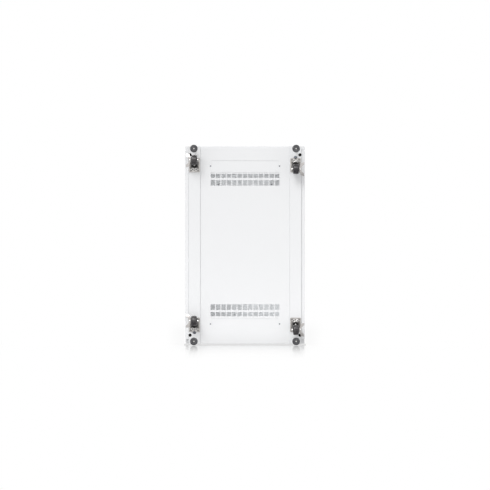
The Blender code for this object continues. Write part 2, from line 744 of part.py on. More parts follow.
def build_pedal(name, x, y, side, direction):
    """A two-winged brake pedal that rocks on the axle, outside the fork."""
    wings = [
        (0.0172, -0.007), (0.022, -0.022), (0.027, -0.031), (0.0415, -0.035), (0.0415, -0.024),
        (0.031, -0.015), (0.0255, -0.002), (0.031, 0.013), (0.0405, 0.021), (0.0405, 0.034),
        (0.024, 0.030), (0.0172, 0.008),
    ]
    points = [(x + side * u, y + direction * v) for u, v in wings]
    level = AXLE_Z + 0.0075
    pedal = outline_solid(name, points, (0, 0, level), 0.001, paint="pedal_nickel")
    hub = box(
        f"{name}_hub",
        (min(x + side * 0.0172, x + side * 0.0192), y - 0.0065, AXLE_Z - 0.0065),
        (max(x + side * 0.0172, x + side * 0.0192), y + 0.0065, level),
    )
    bore = cylinder(f"{name}_bore", AXLE_RADIUS + RUNNING, (x + side * 0.018, y, AXLE_Z), 0.01, "X")
    fuse(pedal, hub)
    cut(pedal, bore)
    return pedal


def build_caster(end_name, side_name, end, side):
    """The right casters trail to the rear and the left ones to the front, pedals outside."""
    x, y = side * CASTER[0], end * CASTER[1]
    tag = f"{end_name}_{side_name}"
    trail = side * CASTER_TRAIL
    build_caster_plate(f"caster_plate_{tag}", x, y)
    fork = build_fork(f"caster_fork_{tag}", x, y, trail)
    wheel = build_wheel(f"caster_wheel_{tag}", x, y + trail)
    pedal = build_pedal(f"caster_pedal_{tag}", x, y + trail, side, math.copysign(1, trail))
    swivel = hold(f"caster_swivel_axis_{tag}", (x, y, 0), fork)
    spin = hold(f"caster_spin_axis_{tag}", (x, y + trail, AXLE_Z), wheel)
    rock = hold(f"caster_pedal_axis_{tag}", (x, y + trail, AXLE_Z), pedal)
    for child in (spin, rock):
        child.parent = swivel
        child.matrix_parent_inverse = Matrix.Translation((x, y, 0)).inverted()


# Levelling feet

def build_foot(end_name, side_name, end, side):
    """A ribbed pad on a threaded stud that screws up into the beam."""
    x, y = side * FOOT[0], end * FOOT[1]
    tag = f"{end_name}_{side_name}"
    bore = STUD_RADIUS + RUNNING
    profile = [
        (bore, 0.011), (0.009, 0.011), (0.0105, 0.0075), (PAD_RADIUS, 0.0045), (PAD_RADIUS, 0.001),
        (0.018, 0), (0.0128, 0), (0.0118, 0.001), (bore, 0.001),
    ]
    pad = turned(f"foot_pad_{tag}", profile, (x, y, 0), "Z", "dark_plastic", steps=24)
    middle = (x, y, (STUD_FLOOR + STUD_TOP) / 2)
    stud = cylinder(f"foot_stud_{tag}", STUD_RADIUS, middle, STUD_TOP - STUD_FLOOR, paint="steel")
    collar = cylinder(f"{stud.name}_collar", COLLAR_RADIUS, (x, y, 0.0145), 0.006, segments=6)
    fuse(stud, collar)
    hold(f"foot_axis_{tag}", (x, y, 0), pad, stud)


def main():
    build_bottom_panel()
    build_uprights()
    build_supports()
    build_roof()
    build_front_door()
    build_rear_door()
    for side_name, side in SIDES.items():
        build_beam(side_name, side)
        build_side_panel(side_name, side)
    for end_name, end in ENDS.items():
        build_hinges(end_name, end)
        for side_name, side in SIDES.items():
            build_caster(end_name, side_name, end, side)
            build_foot(end_name, side_name, end, side)


main()
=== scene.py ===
# %% [markdown]
# # A network rack cabinet, seen from below
# A rack cabinet is a folded steel cupboard for 19 inch equipment. This script dresses a finished
# mechanical model of one. The model is the frame: it fixes every size, place and joint. Here each
# piece gets the rounded folds, fasteners and finishes that make it look like the real thing.
# The cabinet stands on z = 0 and its front door faces -Y. The main camera looks straight up at it
# from below, so the underside gets the most detail.

# %% Load the frame
import json
import math

import bmesh
import bpy
from mathutils import Matrix, Vector


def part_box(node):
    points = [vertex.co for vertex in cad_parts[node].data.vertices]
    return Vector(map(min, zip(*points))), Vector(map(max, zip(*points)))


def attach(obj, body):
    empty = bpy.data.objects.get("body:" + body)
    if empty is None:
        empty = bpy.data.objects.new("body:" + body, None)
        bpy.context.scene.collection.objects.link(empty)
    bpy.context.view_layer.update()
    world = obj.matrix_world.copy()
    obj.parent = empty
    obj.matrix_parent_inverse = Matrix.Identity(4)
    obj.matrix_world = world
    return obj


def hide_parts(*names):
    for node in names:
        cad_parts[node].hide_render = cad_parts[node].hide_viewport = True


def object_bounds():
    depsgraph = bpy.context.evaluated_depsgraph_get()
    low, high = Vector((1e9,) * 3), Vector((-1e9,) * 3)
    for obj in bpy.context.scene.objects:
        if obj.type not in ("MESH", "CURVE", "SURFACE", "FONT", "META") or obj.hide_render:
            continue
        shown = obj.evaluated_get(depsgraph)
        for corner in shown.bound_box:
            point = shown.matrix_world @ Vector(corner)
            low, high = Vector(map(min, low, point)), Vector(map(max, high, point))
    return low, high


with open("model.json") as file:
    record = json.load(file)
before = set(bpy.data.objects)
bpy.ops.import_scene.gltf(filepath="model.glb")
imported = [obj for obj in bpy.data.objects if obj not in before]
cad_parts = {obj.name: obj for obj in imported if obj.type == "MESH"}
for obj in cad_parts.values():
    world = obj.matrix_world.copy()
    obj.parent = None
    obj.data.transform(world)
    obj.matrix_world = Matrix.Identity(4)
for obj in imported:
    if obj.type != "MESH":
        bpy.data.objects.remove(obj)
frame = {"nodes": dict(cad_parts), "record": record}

cad_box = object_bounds()
BODY_OF = {node: body for body, nodes in frame["record"]["behaviour"]["bodies"].items() for node in nodes}
SLOT_OF = {part["node"]: part["material_slot"] for part in frame["record"]["subparts"]}
SIDES = {"left": -1, "right": 1}
ENDS = {"front": -1, "rear": 1}
CORNERS = [(end, side, f"{end}_{side}") for end in ENDS for side in SIDES]

# %% [markdown]
# ## Shared surface effects
# A real finish is never one flat colour. Powder coat has an orange peel of soft bumps about a
# millimetre across, zinc plating has faint crystals, and moulded plastic has a fine grain. Each of
# these is a node group with named inputs, built once, so every material can use it with its own
# values. All of them read Object coordinates, which are metres here.

# %% A helper for node groups
def new_group(name, inputs, outputs):
    """An empty node group with float inputs (name: default) and outputs (name: socket type)."""
    group = bpy.data.node_groups.new(name, "ShaderNodeTree")
    for label, value in inputs.items():
        socket = group.interface.new_socket(label, in_out="INPUT", socket_type="NodeSocketFloat")
        socket.default_value = value
    for label, kind in outputs.items():
        group.interface.new_socket(label, in_out="OUTPUT", socket_type=kind)
    return group, group.nodes.new("NodeGroupInput"), group.nodes.new("NodeGroupOutput")


def add_math(tree, operation, first, second):
    """A Math node whose two inputs are sockets or plain numbers. Returns its output."""
    node = tree.nodes.new("ShaderNodeMath")
    node.operation = operation
    for slot, value in zip(node.inputs, (first, second)):
        if isinstance(value, (int, float)):
            slot.default_value = value
        else:
            tree.links.new(value, slot)
    return node.outputs[0]


def add_noise(tree, scale, detail=2.0, stretch=None):
    """A Noise texture on Object coordinates, optionally stretched. Returns its factor."""
    place = tree.nodes.new("ShaderNodeTexCoord").outputs["Object"]
    if stretch:
        mapping = tree.nodes.new("ShaderNodeMapping")
        mapping.inputs["Scale"].default_value = stretch
        tree.links.new(place, mapping.inputs["Vector"])
        place = mapping.outputs["Vector"]
    noise = tree.nodes.new("ShaderNodeTexNoise")
    noise.inputs["Detail"].default_value = detail
    tree.links.new(place, noise.inputs["Vector"])
    if isinstance(scale, (int, float)):
        noise.inputs["Scale"].default_value = scale
    else:
        tree.links.new(scale, noise.inputs["Scale"])
    return noise.outputs["Fac"]


print("node group helpers ready")

# %% [markdown]
# ### Orange peel
# The height is a soft noise for the bumps plus a finer one for the powder's grain. The tone is a
# very slow noise: large sheets never reflect quite evenly, because the coat's thickness varies.

# %% The orange peel group
def build_orange_peel():
    group, source, result = new_group(
        "orange_peel", {"Scale": 420.0, "Variation": 0.03},
        {"Height": "NodeSocketFloat", "Tone": "NodeSocketFloat", "Gloss": "NodeSocketFloat"},
    )
    peel = add_noise(group, source.outputs["Scale"], 1.0)
    grain = add_noise(group, 2600.0, 1.0)
    height = add_math(group, "ADD", peel, add_math(group, "MULTIPLY", grain, 0.25))
    slow = add_math(group, "SUBTRACT", add_noise(group, 1.7, 3.0), 0.5)
    tone = add_math(group, "ADD", 1.0, add_math(group, "MULTIPLY", slow, source.outputs["Variation"]))
    patch = add_math(group, "SUBTRACT", add_noise(group, 9.0, 4.0), 0.5)
    group.links.new(height, result.inputs["Height"])
    group.links.new(tone, result.inputs["Tone"])
    group.links.new(add_math(group, "MULTIPLY", patch, 0.16), result.inputs["Gloss"])
    return group


ORANGE_PEEL = build_orange_peel()
print("group:", ORANGE_PEEL.name)

# %% [markdown]
# ### Plated metal
# Zinc and nickel plating show small crystals, cloudy patches and fine scratches from the press.
# A Voronoi texture gives each crystal its own tone; a stretched noise gives the scratches.

# %% The plating group
def build_plating():
    group, source, result = new_group(
        "plating", {"Crystal": 260.0, "Contrast": 0.25},
        {"Tone": "NodeSocketFloat", "Rough": "NodeSocketFloat", "Height": "NodeSocketFloat"},
    )
    place = group.nodes.new("ShaderNodeTexCoord")
    cells = group.nodes.new("ShaderNodeTexVoronoi")
    group.links.new(place.outputs["Object"], cells.inputs["Vector"])
    group.links.new(source.outputs["Crystal"], cells.inputs["Scale"])
    split = group.nodes.new("ShaderNodeSeparateColor")
    group.links.new(cells.outputs["Color"], split.inputs["Color"])
    crystal = add_math(group, "SUBTRACT", split.outputs[0], 0.5)
    cloud = add_math(group, "SUBTRACT", add_noise(group, 55.0, 4.0), 0.5)
    scratch = add_noise(group, 90.0, 3.0, stretch=(14.0, 1.0, 1.0))
    both = add_math(group, "ADD", crystal, add_math(group, "MULTIPLY", cloud, 1.4))
    tone = add_math(group, "MULTIPLY", both, source.outputs["Contrast"])
    group.links.new(add_math(group, "ADD", 1.0, tone), result.inputs["Tone"])
    rough = add_math(group, "MULTIPLY", add_math(group, "SUBTRACT", scratch, 0.5), 0.3)
    group.links.new(rough, result.inputs["Rough"])
    group.links.new(add_math(group, "ADD", scratch, crystal), result.inputs["Height"])
    return group


PLATING = build_plating()
print("group:", PLATING.name)

# %% [markdown]
# ### Moulded plastic and rubber
# Moulded parts have the fine grain of a spark-eroded mould and faint flow clouds. Wheels and feet
# also gather a little pale dust in patches.

# %% The moulded grain group
def build_moulding():
    group, source, result = new_group(
        "moulding", {"Grain": 1500.0, "Dust": 0.1},
        {"Height": "NodeSocketFloat", "Dust": "NodeSocketFloat", "Rough": "NodeSocketFloat"},
    )
    grain = add_noise(group, source.outputs["Grain"], 2.0)
    cloud = add_noise(group, 38.0, 5.0)
    patch = group.nodes.new("ShaderNodeMapRange")
    patch.inputs["From Min"].default_value = 0.45
    patch.inputs["From Max"].default_value = 0.75
    group.links.new(cloud, patch.inputs["Value"])
    dust = add_math(group, "MULTIPLY", patch.outputs["Result"], source.outputs["Dust"])
    rough = add_math(group, "MULTIPLY", add_math(group, "SUBTRACT", cloud, 0.5), 0.2)
    group.links.new(grain, result.inputs["Height"])
    group.links.new(dust, result.inputs["Dust"])
    group.links.new(rough, result.inputs["Rough"])
    return group


MOULDING = build_moulding()
print("group:", MOULDING.name)

# %% [markdown]
# ## Materials
# Each finish is a Principled shader. Its plain values are set on the shader itself; only what
# varies over the surface comes from the groups above.

# %% Material helpers
def start_material(name, roughness, metallic=0.0, specular=0.5):
    """A new material with its Principled shader's plain values set."""
    material = bpy.data.materials.new(name)
    material.use_nodes = True
    shader = material.node_tree.nodes["Principled BSDF"]
    shader.inputs["Roughness"].default_value = roughness
    shader.inputs["Metallic"].default_value = metallic
    shader.inputs["Specular IOR Level"].default_value = specular
    return material, material.node_tree, shader


def use_group(tree, group, **values):
    node = tree.nodes.new("ShaderNodeGroup")
    node.node_tree = group
    for label, value in values.items():
        node.inputs[label].default_value = value
    return node


def tint(tree, shader, colour, tone):
    """Base Color is the colour times a tone that varies over the surface."""
    scale = tree.nodes.new("ShaderNodeVectorMath")
    scale.operation = "SCALE"
    scale.inputs[0].default_value = colour
    tree.links.new(tone, scale.inputs["Scale"])
    tree.links.new(scale.outputs["Vector"], shader.inputs["Base Color"])


def vary_roughness(tree, shader, middle, offset):
    tree.links.new(add_math(tree, "ADD", middle, offset), shader.inputs["Roughness"])


def bump(tree, shader, height, depth):
    """A Bump node whose height is in metres."""
    node = tree.nodes.new("ShaderNodeBump")
    node.inputs["Distance"].default_value = depth
    tree.links.new(height, node.inputs["Height"])
    tree.links.new(node.outputs["Normal"], shader.inputs["Normal"])


print("material helpers ready")

# %% [markdown]
# ### White powder coat
# Sheet steel parts are sprayed with powder and baked. The coat outside is a little glossier than
# the one on the frame inside, so there are two versions with the same orange peel.

# %% White powder coat
def powder_coat(name, colour, roughness, scale=420.0):
    material, tree, shader = start_material(name, roughness)
    peel = use_group(tree, ORANGE_PEEL, Scale=scale, Variation=0.02)
    tint(tree, shader, colour, peel.outputs["Tone"])
    vary_roughness(tree, shader, roughness, peel.outputs["Gloss"])
    bump(tree, shader, peel.outputs["Height"], 0.00004)
    return material


WHITE = powder_coat("white_powder_coat", (0.845, 0.85, 0.86), 0.42)
WHITE_INSIDE = powder_coat("white_powder_coat_inside", (0.84, 0.845, 0.85), 0.5)
print("powder coats:", WHITE.name, WHITE_INSIDE.name)

# %% [markdown]
# ### Plated steels
# The casters, rails and fasteners are bare or plated steel. They differ in tone, in roughness and
# in the size of the crystals. The fork, its crown and the race dish are darker copies of the
# caster's zinc, a painted shade, and the ribs and axle nuts are a near-white copy, a painted highlight.

# %% Plated steels
def plated(name, colour, roughness, crystal, contrast, metallic=1.0):
    material, tree, shader = start_material(name, roughness, metallic)
    plate = use_group(tree, PLATING, Crystal=crystal, Contrast=contrast)
    tint(tree, shader, colour, plate.outputs["Tone"])
    vary_roughness(tree, shader, roughness, plate.outputs["Rough"])
    bump(tree, shader, plate.outputs["Height"], 0.00002)
    return material


ZINC_STAMPING = plated("zinc_plated_stamping", (0.60, 0.58, 0.56), 0.36, 240.0, 0.28, 0.85)
# Darker copy of the caster zinc: painted shade on the fork and its crown.
ZINC_FORK_SHADED = plated("zinc_plated_fork_painted_shade", (0.19, 0.185, 0.18), 0.32, 240.0, 0.30, 0.85)
# Dark copy of the caster zinc: painted shade on the ring round the race.
ZINC_PAINTED_SHADE = plated("zinc_plated_painted_shade", (0.17, 0.163, 0.155), 0.36, 240.0, 0.20, 0.85)
ZINC_BOLT = plated("zinc_plated_bolt", (0.30, 0.29, 0.285), 0.34, 500.0, 0.16, 0.9)
# Near-white copy of the caster zinc: painted highlight on the ribs and the axle nuts.
ZINC_HIGHLIGHT = plated("painted_highlight_zinc", (0.97, 0.96, 0.95), 0.22, 500.0, 0.06, 0.75)
ZINC_RAIL = plated("zinc_plated_rail", (0.66, 0.67, 0.69), 0.36, 160.0, 0.16)
BRIGHT_STEEL = plated("bright_steel", (0.74, 0.73, 0.71), 0.24, 700.0, 0.08)
BLUE_ZINC = plated("blue_zinc_fastener", (0.165, 0.175, 0.20), 0.30, 500.0, 0.16, 0.9)
PEDAL_NICKEL = plated("nickel_plated_pedal", (0.60, 0.575, 0.56), 0.30, 320.0, 0.10, 0.8)
print("plated steels:", sum("plated" in m.name or "steel" in m.name for m in bpy.data.materials))

# %% [markdown]
# ### Plastics and rubber
# Each moulding is a mix of its own colour and the colour of dust, with the dust's patches as the
# mask. Its roughness varies with the same clouds.

# %% Plastics and rubber
def moulded(name, colour, dust_colour, roughness, dust, grain=1500.0, depth=0.00003):
    material, tree, shader = start_material(name, roughness, specular=0.45)
    grain_node = use_group(tree, MOULDING, Grain=grain, Dust=dust)
    mix = tree.nodes.new("ShaderNodeMix")
    mix.data_type = "RGBA"
    mix.inputs["A"].default_value = (*colour, 1)
    mix.inputs["B"].default_value = (*dust_colour, 1)
    tree.links.new(grain_node.outputs["Dust"], mix.inputs["Factor"])
    tree.links.new(mix.outputs["Result"], shader.inputs["Base Color"])
    vary_roughness(tree, shader, roughness, grain_node.outputs["Rough"])
    bump(tree, shader, grain_node.outputs["Height"], depth)
    return material


NYLON_WHEEL = moulded("grey_nylon_wheel", (0.036, 0.033, 0.036), (0.22, 0.21, 0.20), 0.27, 0.16)
# Near black: painted shade in the swivel's throat.
RACE_SHADE = moulded("painted_shade_race_seal", (0.012, 0.011, 0.010), (0.05, 0.048, 0.045), 0.35, 0.3)
# Near pure black: painted shade of the inside of the beam holes.
HOLE_SHADE = moulded("painted_shade_hole_plug", (0.002, 0.002, 0.002), (0.006, 0.006, 0.006), 0.8, 0.05)
FOOT_PLASTIC = moulded("grey_foot_plastic", (0.075, 0.075, 0.082), (0.30, 0.30, 0.30), 0.5, 0.25)
HANDLE_PLASTIC = moulded("black_handle_plastic", (0.018, 0.018, 0.020), (0.12, 0.12, 0.12), 0.38, 0.08)
SEAL_RUBBER = moulded("black_seal_rubber", (0.016, 0.016, 0.016), (0.10, 0.10, 0.10), 0.7, 0.2)
FOAM_SEAL = moulded("grey_foam_seal", (0.10, 0.10, 0.105), (0.2, 0.2, 0.2), 0.9, 0.3, 700.0, 0.0002)
print("wheel moulding:", NYLON_WHEEL.name, "foot moulding:", FOOT_PLASTIC.name)

# %% [markdown]
# ### Tempered glass
# The pane is real glass: light bends and mirrors in it. Lamps would not reach through such glass
# in a path tracer without a lot of noise, so for shadow rays it is plainly transparent.

# %% Tinted glass
def tempered_glass():
    material, tree, shader = start_material("tinted_tempered_glass", 0.02)
    shader.inputs["Transmission Weight"].default_value = 1.0
    shader.inputs["IOR"].default_value = 1.48
    cloud = add_noise(tree, 1.1, 2.0)
    tone = add_math(tree, "ADD", 0.98, add_math(tree, "MULTIPLY", cloud, 0.03))
    tint(tree, shader, (0.93, 0.945, 0.945), tone)
    clear = tree.nodes.new("ShaderNodeBsdfTransparent")
    clear.inputs["Color"].default_value = (0.93, 0.945, 0.945, 1)
    path = tree.nodes.new("ShaderNodeLightPath")
    mix = tree.nodes.new("ShaderNodeMixShader")
    passing = add_math(tree, "MAXIMUM", path.outputs["Is Shadow Ray"], path.outputs["Is Diffuse Ray"])
    tree.links.new(passing, mix.inputs["Fac"])
    tree.links.new(shader.outputs["BSDF"], mix.inputs[1])
    tree.links.new(clear.outputs["BSDF"], mix.inputs[2])
    tree.links.new(mix.outputs["Shader"], tree.nodes["Material Output"].inputs["Surface"])
    return material


GLASS = tempered_glass()
print("materials:", len(bpy.data.materials))

# %% [markdown]
# ## Making pieces
# Every new piece starts as a bmesh and ends as an object at the origin whose place is in its mesh.
# It rides on a body of the frame.

# %% Finishing a piece
def finish_piece(form, name, body, paint, replaced=None, sharp=38):
    """The bmesh made an object that rides on a body, and stands for a CAD node if one is named."""
    mesh = bpy.data.meshes.new(name)
    form.to_mesh(mesh)
    form.free()
    mesh.materials.append(paint)
    mesh.shade_smooth()
    mesh.set_sharp_from_angle(angle=math.radians(sharp))
    piece = bpy.data.objects.new(name, mesh)
    bpy.context.scene.collection.objects.link(piece)
    weigh = piece.modifiers.new("even_shading", "WEIGHTED_NORMAL")
    weigh.keep_sharp = True
    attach(piece, body)
    if replaced:
        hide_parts(replaced)


print("finish_piece ready")

# %% [markdown]
# ### Folds and edges on the CAD shapes
# The frame's solids have knife edges. Real sheet steel has a radius of two or three millimetres
# where it is folded, and a small deburred edge where it is cut. The CAD mesh is copied, its loose
# triangles are merged and joined into flat faces, and then two bevels follow: a wide one along the
# outermost edges, which are folds, and a narrow one along every other sharp edge.

# %% Rounding a CAD node
def merged_copy(node):
    """A bmesh of a CAD node's mesh, with its triangles welded and its flat faces whole."""
    form = bmesh.new()
    form.from_mesh(frame["nodes"][node].data)
    bmesh.ops.remove_doubles(form, verts=form.verts, dist=2e-6)
    bmesh.ops.dissolve_limit(form, angle_limit=math.radians(0.5), verts=form.verts, edges=form.edges)
    return form


def sharp_edges(form, least_degrees):
    least = math.radians(least_degrees)
    return [e for e in form.edges if len(e.link_faces) == 2 and e.calc_face_angle() > least]


def round_edges(form, edges, width, segments):
    if edges:
        bmesh.ops.bevel(
            form, geom=edges, offset=width, offset_type="OFFSET", segments=segments, profile=0.5,
            affect="EDGES", clamp_overlap=True, material=-1,
        )


def outermost(form, edges):
    """The edges that lie on two outer sides of the piece's own box."""
    low = [min(v.co[i] for v in form.verts) for i in range(3)]
    high = [max(v.co[i] for v in form.verts) for i in range(3)]

    def outer_sides(edge):
        return sum(
            all(abs(v.co[i] - limit) < 1e-5 for v in edge.verts)
            for i in range(3) for limit in (low[i], high[i])
        )

    return [e for e in edges if outer_sides(e) >= 2]


def refine(node, paint, fold=0.0, edge=0.0003, segments=3):
    """The visual piece for a CAD node: the same shape, with rounded folds and eased edges."""
    form = merged_copy(node)
    if fold:
        round_edges(form, outermost(form, sharp_edges(form, 60)), fold, segments)
    round_edges(form, sharp_edges(form, 44), edge, 2)
    finish_piece(form, f"{node}_finished", BODY_OF[node], paint, node)


def block(size, centre, soft=0.0, segments=2):
    """A cuboid with eased edges."""
    form = bmesh.new()
    bmesh.ops.create_cube(form, size=1)
    bmesh.ops.scale(form, vec=size, verts=form.verts)
    bmesh.ops.translate(form, vec=centre, verts=form.verts)
    if soft:
        round_edges(form, form.edges[:], soft, segments)
    return form


print("edge helpers ready for", len(frame["nodes"]), "nodes")

# %% [markdown]
# ### Turned shapes
# A washer, a wheel or a foot is a profile spun about its axis. The profile is a list of (radius,
# height) points. It is closed into a loop where the piece has a bore, and left open where both
# ends touch the axis.

# %% Spinning a profile
AXIS_TURN = {
    "Z": Matrix.Identity(3),
    "-Z": Matrix.Rotation(math.pi, 3, "X"),
    "X": Matrix.Rotation(math.pi / 2, 3, "Y"),
    "-X": Matrix.Rotation(-math.pi / 2, 3, "Y"),
    "Y": Matrix.Rotation(-math.pi / 2, 3, "X"),
    "-Y": Matrix.Rotation(math.pi / 2, 3, "X"),
}


def merge_into(form, other):
    """Adds another bmesh's shape to form."""
    mesh = bpy.data.meshes.new("joining")
    other.to_mesh(mesh)
    other.free()
    form.from_mesh(mesh)
    bpy.data.meshes.remove(mesh)


def spin_profile(profile, centre, axis="Z", steps=48):
    """A closed turned shape as its own bmesh, with its height axis pointing along axis."""
    form = bmesh.new()
    points = [form.verts.new((radius, 0, height)) for radius, height in profile]
    pairs = list(zip(points, points[1:]))
    if profile[0][0] > 1e-7:
        pairs.append((points[-1], points[0]))
    for pair in pairs:
        form.edges.new(pair)
    bmesh.ops.spin(
        form, geom=form.verts[:] + form.edges[:], cent=(0, 0, 0), axis=(0, 0, 1),
        angle=2 * math.pi, steps=steps, use_merge=True, use_duplicate=False,
    )
    bmesh.ops.remove_doubles(form, verts=form.verts, dist=1e-6)
    bmesh.ops.recalc_face_normals(form, faces=form.faces)
    bmesh.ops.rotate(form, matrix=AXIS_TURN[axis], verts=form.verts)
    bmesh.ops.translate(form, vec=Vector(centre), verts=form.verts)
    return form


def arc(centre, radius, start, end, steps=6):
    """Points along an arc, in degrees, for a profile."""
    turns = [math.radians(start + (end - start) * step / steps) for step in range(steps + 1)]
    return [(centre[0] + radius * math.cos(t), centre[1] + radius * math.sin(t)) for t in turns]


print("turning axes:", ", ".join(AXIS_TURN))

# %% [markdown]
# ### Fasteners
# Screws and nuts give an object its scale. A hexagon head is a six-sided prism with eased edges. A
# pan head is a spun dome, and two thin crossed bars on its top draw the cross.

# %% Bolt, screw and nut shapes
def hexagon(centre, axis, across_flats, height):
    """A hexagon head or nut that stands up from centre along axis."""
    radius = across_flats / math.sqrt(3)
    form = bmesh.new()
    bmesh.ops.create_cone(form, cap_ends=True, segments=6, radius1=radius, radius2=radius, depth=height)
    bmesh.ops.translate(form, vec=(0, 0, height / 2), verts=form.verts)
    round_edges(form, form.edges[:], height * 0.12, 2)
    bmesh.ops.rotate(form, matrix=AXIS_TURN[axis], verts=form.verts)
    bmesh.ops.translate(form, vec=Vector(centre), verts=form.verts)
    return form


def washer(centre, axis, radius, bore, thickness):
    chamfer = 0.0003
    profile = [(bore, thickness), (radius - chamfer, thickness), (radius, thickness - chamfer)]
    return spin_profile(profile + [(radius, 0), (bore, 0)], centre, axis, 28)


def pan_head(centre, axis, radius, height):
    """A domed screw head with a cross on it. The head stands up from centre along axis."""
    head = spin_profile(
        [(0, height)] + arc((radius - height * 0.8, height * 0.2), height * 0.8, 90, 0, 5)
        + [(radius, 0), (0, 0)],
        (0, 0, 0), "Z", 24,
    )
    top = [f for f in head.faces if f.calc_center_median().z > height * 0.97]
    bmesh.ops.inset_region(head, faces=top, thickness=radius * 0.12, depth=-height * 0.05)
    for turn in (0, math.pi / 2):
        bar = block((radius * 1.1, radius * 0.24, height * 0.12), (0, 0, height * 0.98))
        bmesh.ops.rotate(bar, matrix=Matrix.Rotation(turn, 3, "Z"), verts=bar.verts)
        merge_into(head, bar)
    bmesh.ops.rotate(head, matrix=AXIS_TURN[axis], verts=head.verts)
    bmesh.ops.translate(head, vec=Vector(centre), verts=head.verts)
    return head


def gathered(forms):
    """Several bmeshes as one."""
    whole = bmesh.new()
    for form in forms:
        merge_into(whole, form)
    return whole


print("fastener shapes: hexagon, washer, pan head")

# %% [markdown]
# ## The base
# Two box beams run front to back and carry everything below: casters, feet and bolts. The bottom
# panel hangs between them. The beams stand a few millimetres proud of the panel, which draws the
# thin shadow lines along it.

# %% Beams and bottom panel
for side in SIDES:
    refine(f"base_beam_{side}", WHITE, fold=0.0022)
refine("bottom_panel", WHITE, fold=0.0012, edge=0.00025)
for end in ENDS:
    refine(f"bottom_cable_cover_{end}", WHITE, edge=0.0004)
beam_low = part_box("base_beam_right")[0]
panel_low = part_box("bottom_panel")[0]
BEAM_FLOOR, PANEL_FLOOR = beam_low.z, panel_low.z
print("beam underside", round(BEAM_FLOOR, 4), "panel underside", round(PANEL_FLOOR, 4))

# %% [markdown]
# ### Cable cover screws
# Each cable entry's cover in the floor is held from below by two small pan head screws, one beyond
# each end of the opening. The roof's covers are held by nuts on their inner side, which can be seen
# through the vents.

# %% Screws and nuts of the cable covers
COVER_SCREW_X = 0.173
SCREW_HEAD = (0.0034, 0.0016)
ROOF_NUT = (0.007, 0.0032)
ROOF_NUT_EDGE = 0.0055
for end in ENDS:
    low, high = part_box(f"bottom_cable_cover_{end}")
    head_y, head_z = (low.y + high.y) / 2, PANEL_FLOOR + 0.0001
    heads = [pan_head((side * COVER_SCREW_X, head_y, head_z), "-Z", *SCREW_HEAD) for side in SIDES.values()]
    finish_piece(gathered(heads), f"bottom_cover_screws_{end}", "frame", BLUE_ZINC)
for end in ENDS:
    low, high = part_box(f"roof_cable_cover_{end}")
    nut_y = (low.y + high.y) / 2 if end == "front" else high.y - ROOF_NUT_EDGE
    nuts = [hexagon((side * COVER_SCREW_X, nut_y, low.z), "-Z", *ROOF_NUT) for side in SIDES.values()]
    finish_piece(gathered(nuts), f"roof_cover_screws_{end}", "frame", BLUE_ZINC)
print("cover screws at x = +-", COVER_SCREW_X)

# %% [markdown]
# ### Hole plugs and corner shoes
# Each beam has one round hole near each end, closed by a hollow plug with a thin flange. The plug is
# near pure black: the painted shade of the hole's inside. A small white shoe plate closes the corner
# between the beam, the door and the panel.

# %% Plugs and shoes
HOLE_SPOT = (0.275, 0.4512)
HOLE_RADIUS = 0.00725
SHOE_SIZE = (0.0166, 0.0230, 0.0016)
SHOE_SPOT = (0.2902, 0.4840, 0.1139)
for end, side, tag in CORNERS:
    spot = (SIDES[side] * HOLE_SPOT[0], ENDS[end] * HOLE_SPOT[1], BEAM_FLOOR)
    neck, flange = HOLE_RADIUS - 0.0003, HOLE_RADIUS + 0.0006
    plug = spin_profile(
        [(0, 0.0050), (neck, 0.0050), (neck, -0.0001), (flange, -0.0001), (flange, -0.0005),
         (flange - 0.0006, -0.0009), (neck - 0.0012, -0.0009), (neck - 0.0020, 0.0028), (0, 0.0030)],
        spot, "Z", 40,
    )
    # The plug's near black is the painted shade of the hole's inside.
    finish_piece(plug, f"beam_hole_plug_{tag}", "frame", HOLE_SHADE)
    place = (SIDES[side] * SHOE_SPOT[0], ENDS[end] * SHOE_SPOT[1], SHOE_SPOT[2])
    finish_piece(block(SHOE_SIZE, place, 0.0005), f"corner_shoe_{tag}", "frame", WHITE)
print("hole plugs and shoes:", len(CORNERS))

# %% [markdown]
# ### Sill strips
# A narrow white strip closes the gap between each beam and the foot of the side panel.

# %% Sill strips
STRIP_SIZE = (0.0040, 0.938, 0.0012)
STRIP_HEIGHT = 0.0846
for side_name, side in SIDES.items():
    beam_side = abs(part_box(f"base_beam_{side_name}")[1 if side > 0 else 0].x)
    strip = block(STRIP_SIZE, (side * (beam_side + 0.0021), 0, STRIP_HEIGHT), 0.0003)
    finish_piece(strip, f"sill_strip_{side_name}", "frame", WHITE)
print("sill strips beside the beams at x = +-", round(beam_side, 4))

# %% [markdown]
# ## Levelling feet
# A foot is a ringed plastic pad on a threaded steel stud. Underneath, the pad has an outer ring
# that touches the floor, a groove, and an inner annulus, with the stud's bright end in the middle.
# The thread is a real helix: one tooth profile spun with a rise per turn.

# %% Pad, threaded stud and nuts
def foot_pad(tag):
    low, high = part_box(f"foot_pad_{tag}")
    centre = ((low.x + high.x) / 2, (low.y + high.y) / 2, 0)
    radius, top = (high.x - low.x) / 2, high.z
    bore = 0.0053
    profile = [(bore, top), (0.0088, top), (0.0096, top - 0.0008), (0.0104, top - 0.0034)]
    profile += [(0.0125, top - 0.0044), (radius - 0.0016, 0.0052)]
    profile += arc((radius - 0.0012, 0.004), 0.0012, 80, 0, 4)
    profile += arc((radius - 0.0012, 0.0012), 0.0012, 0, -90, 4)
    profile += [(0.0155, 0), (0.0151, 0.0009), (0.0146, 0.0009), (0.0142, 0), (0.0128, 0)]
    profile += [(0.0122, 0.0012), (0.0112, 0.0016), (0.0084, 0.0016), (0.0078, 0.0009), (bore, 0.0009)]
    finish_piece(spin_profile(profile, centre, "Z", 56), f"foot_pad_{tag}_finished", f"foot_{tag}",
                 FOOT_PLASTIC, f"foot_pad_{tag}", sharp=30)


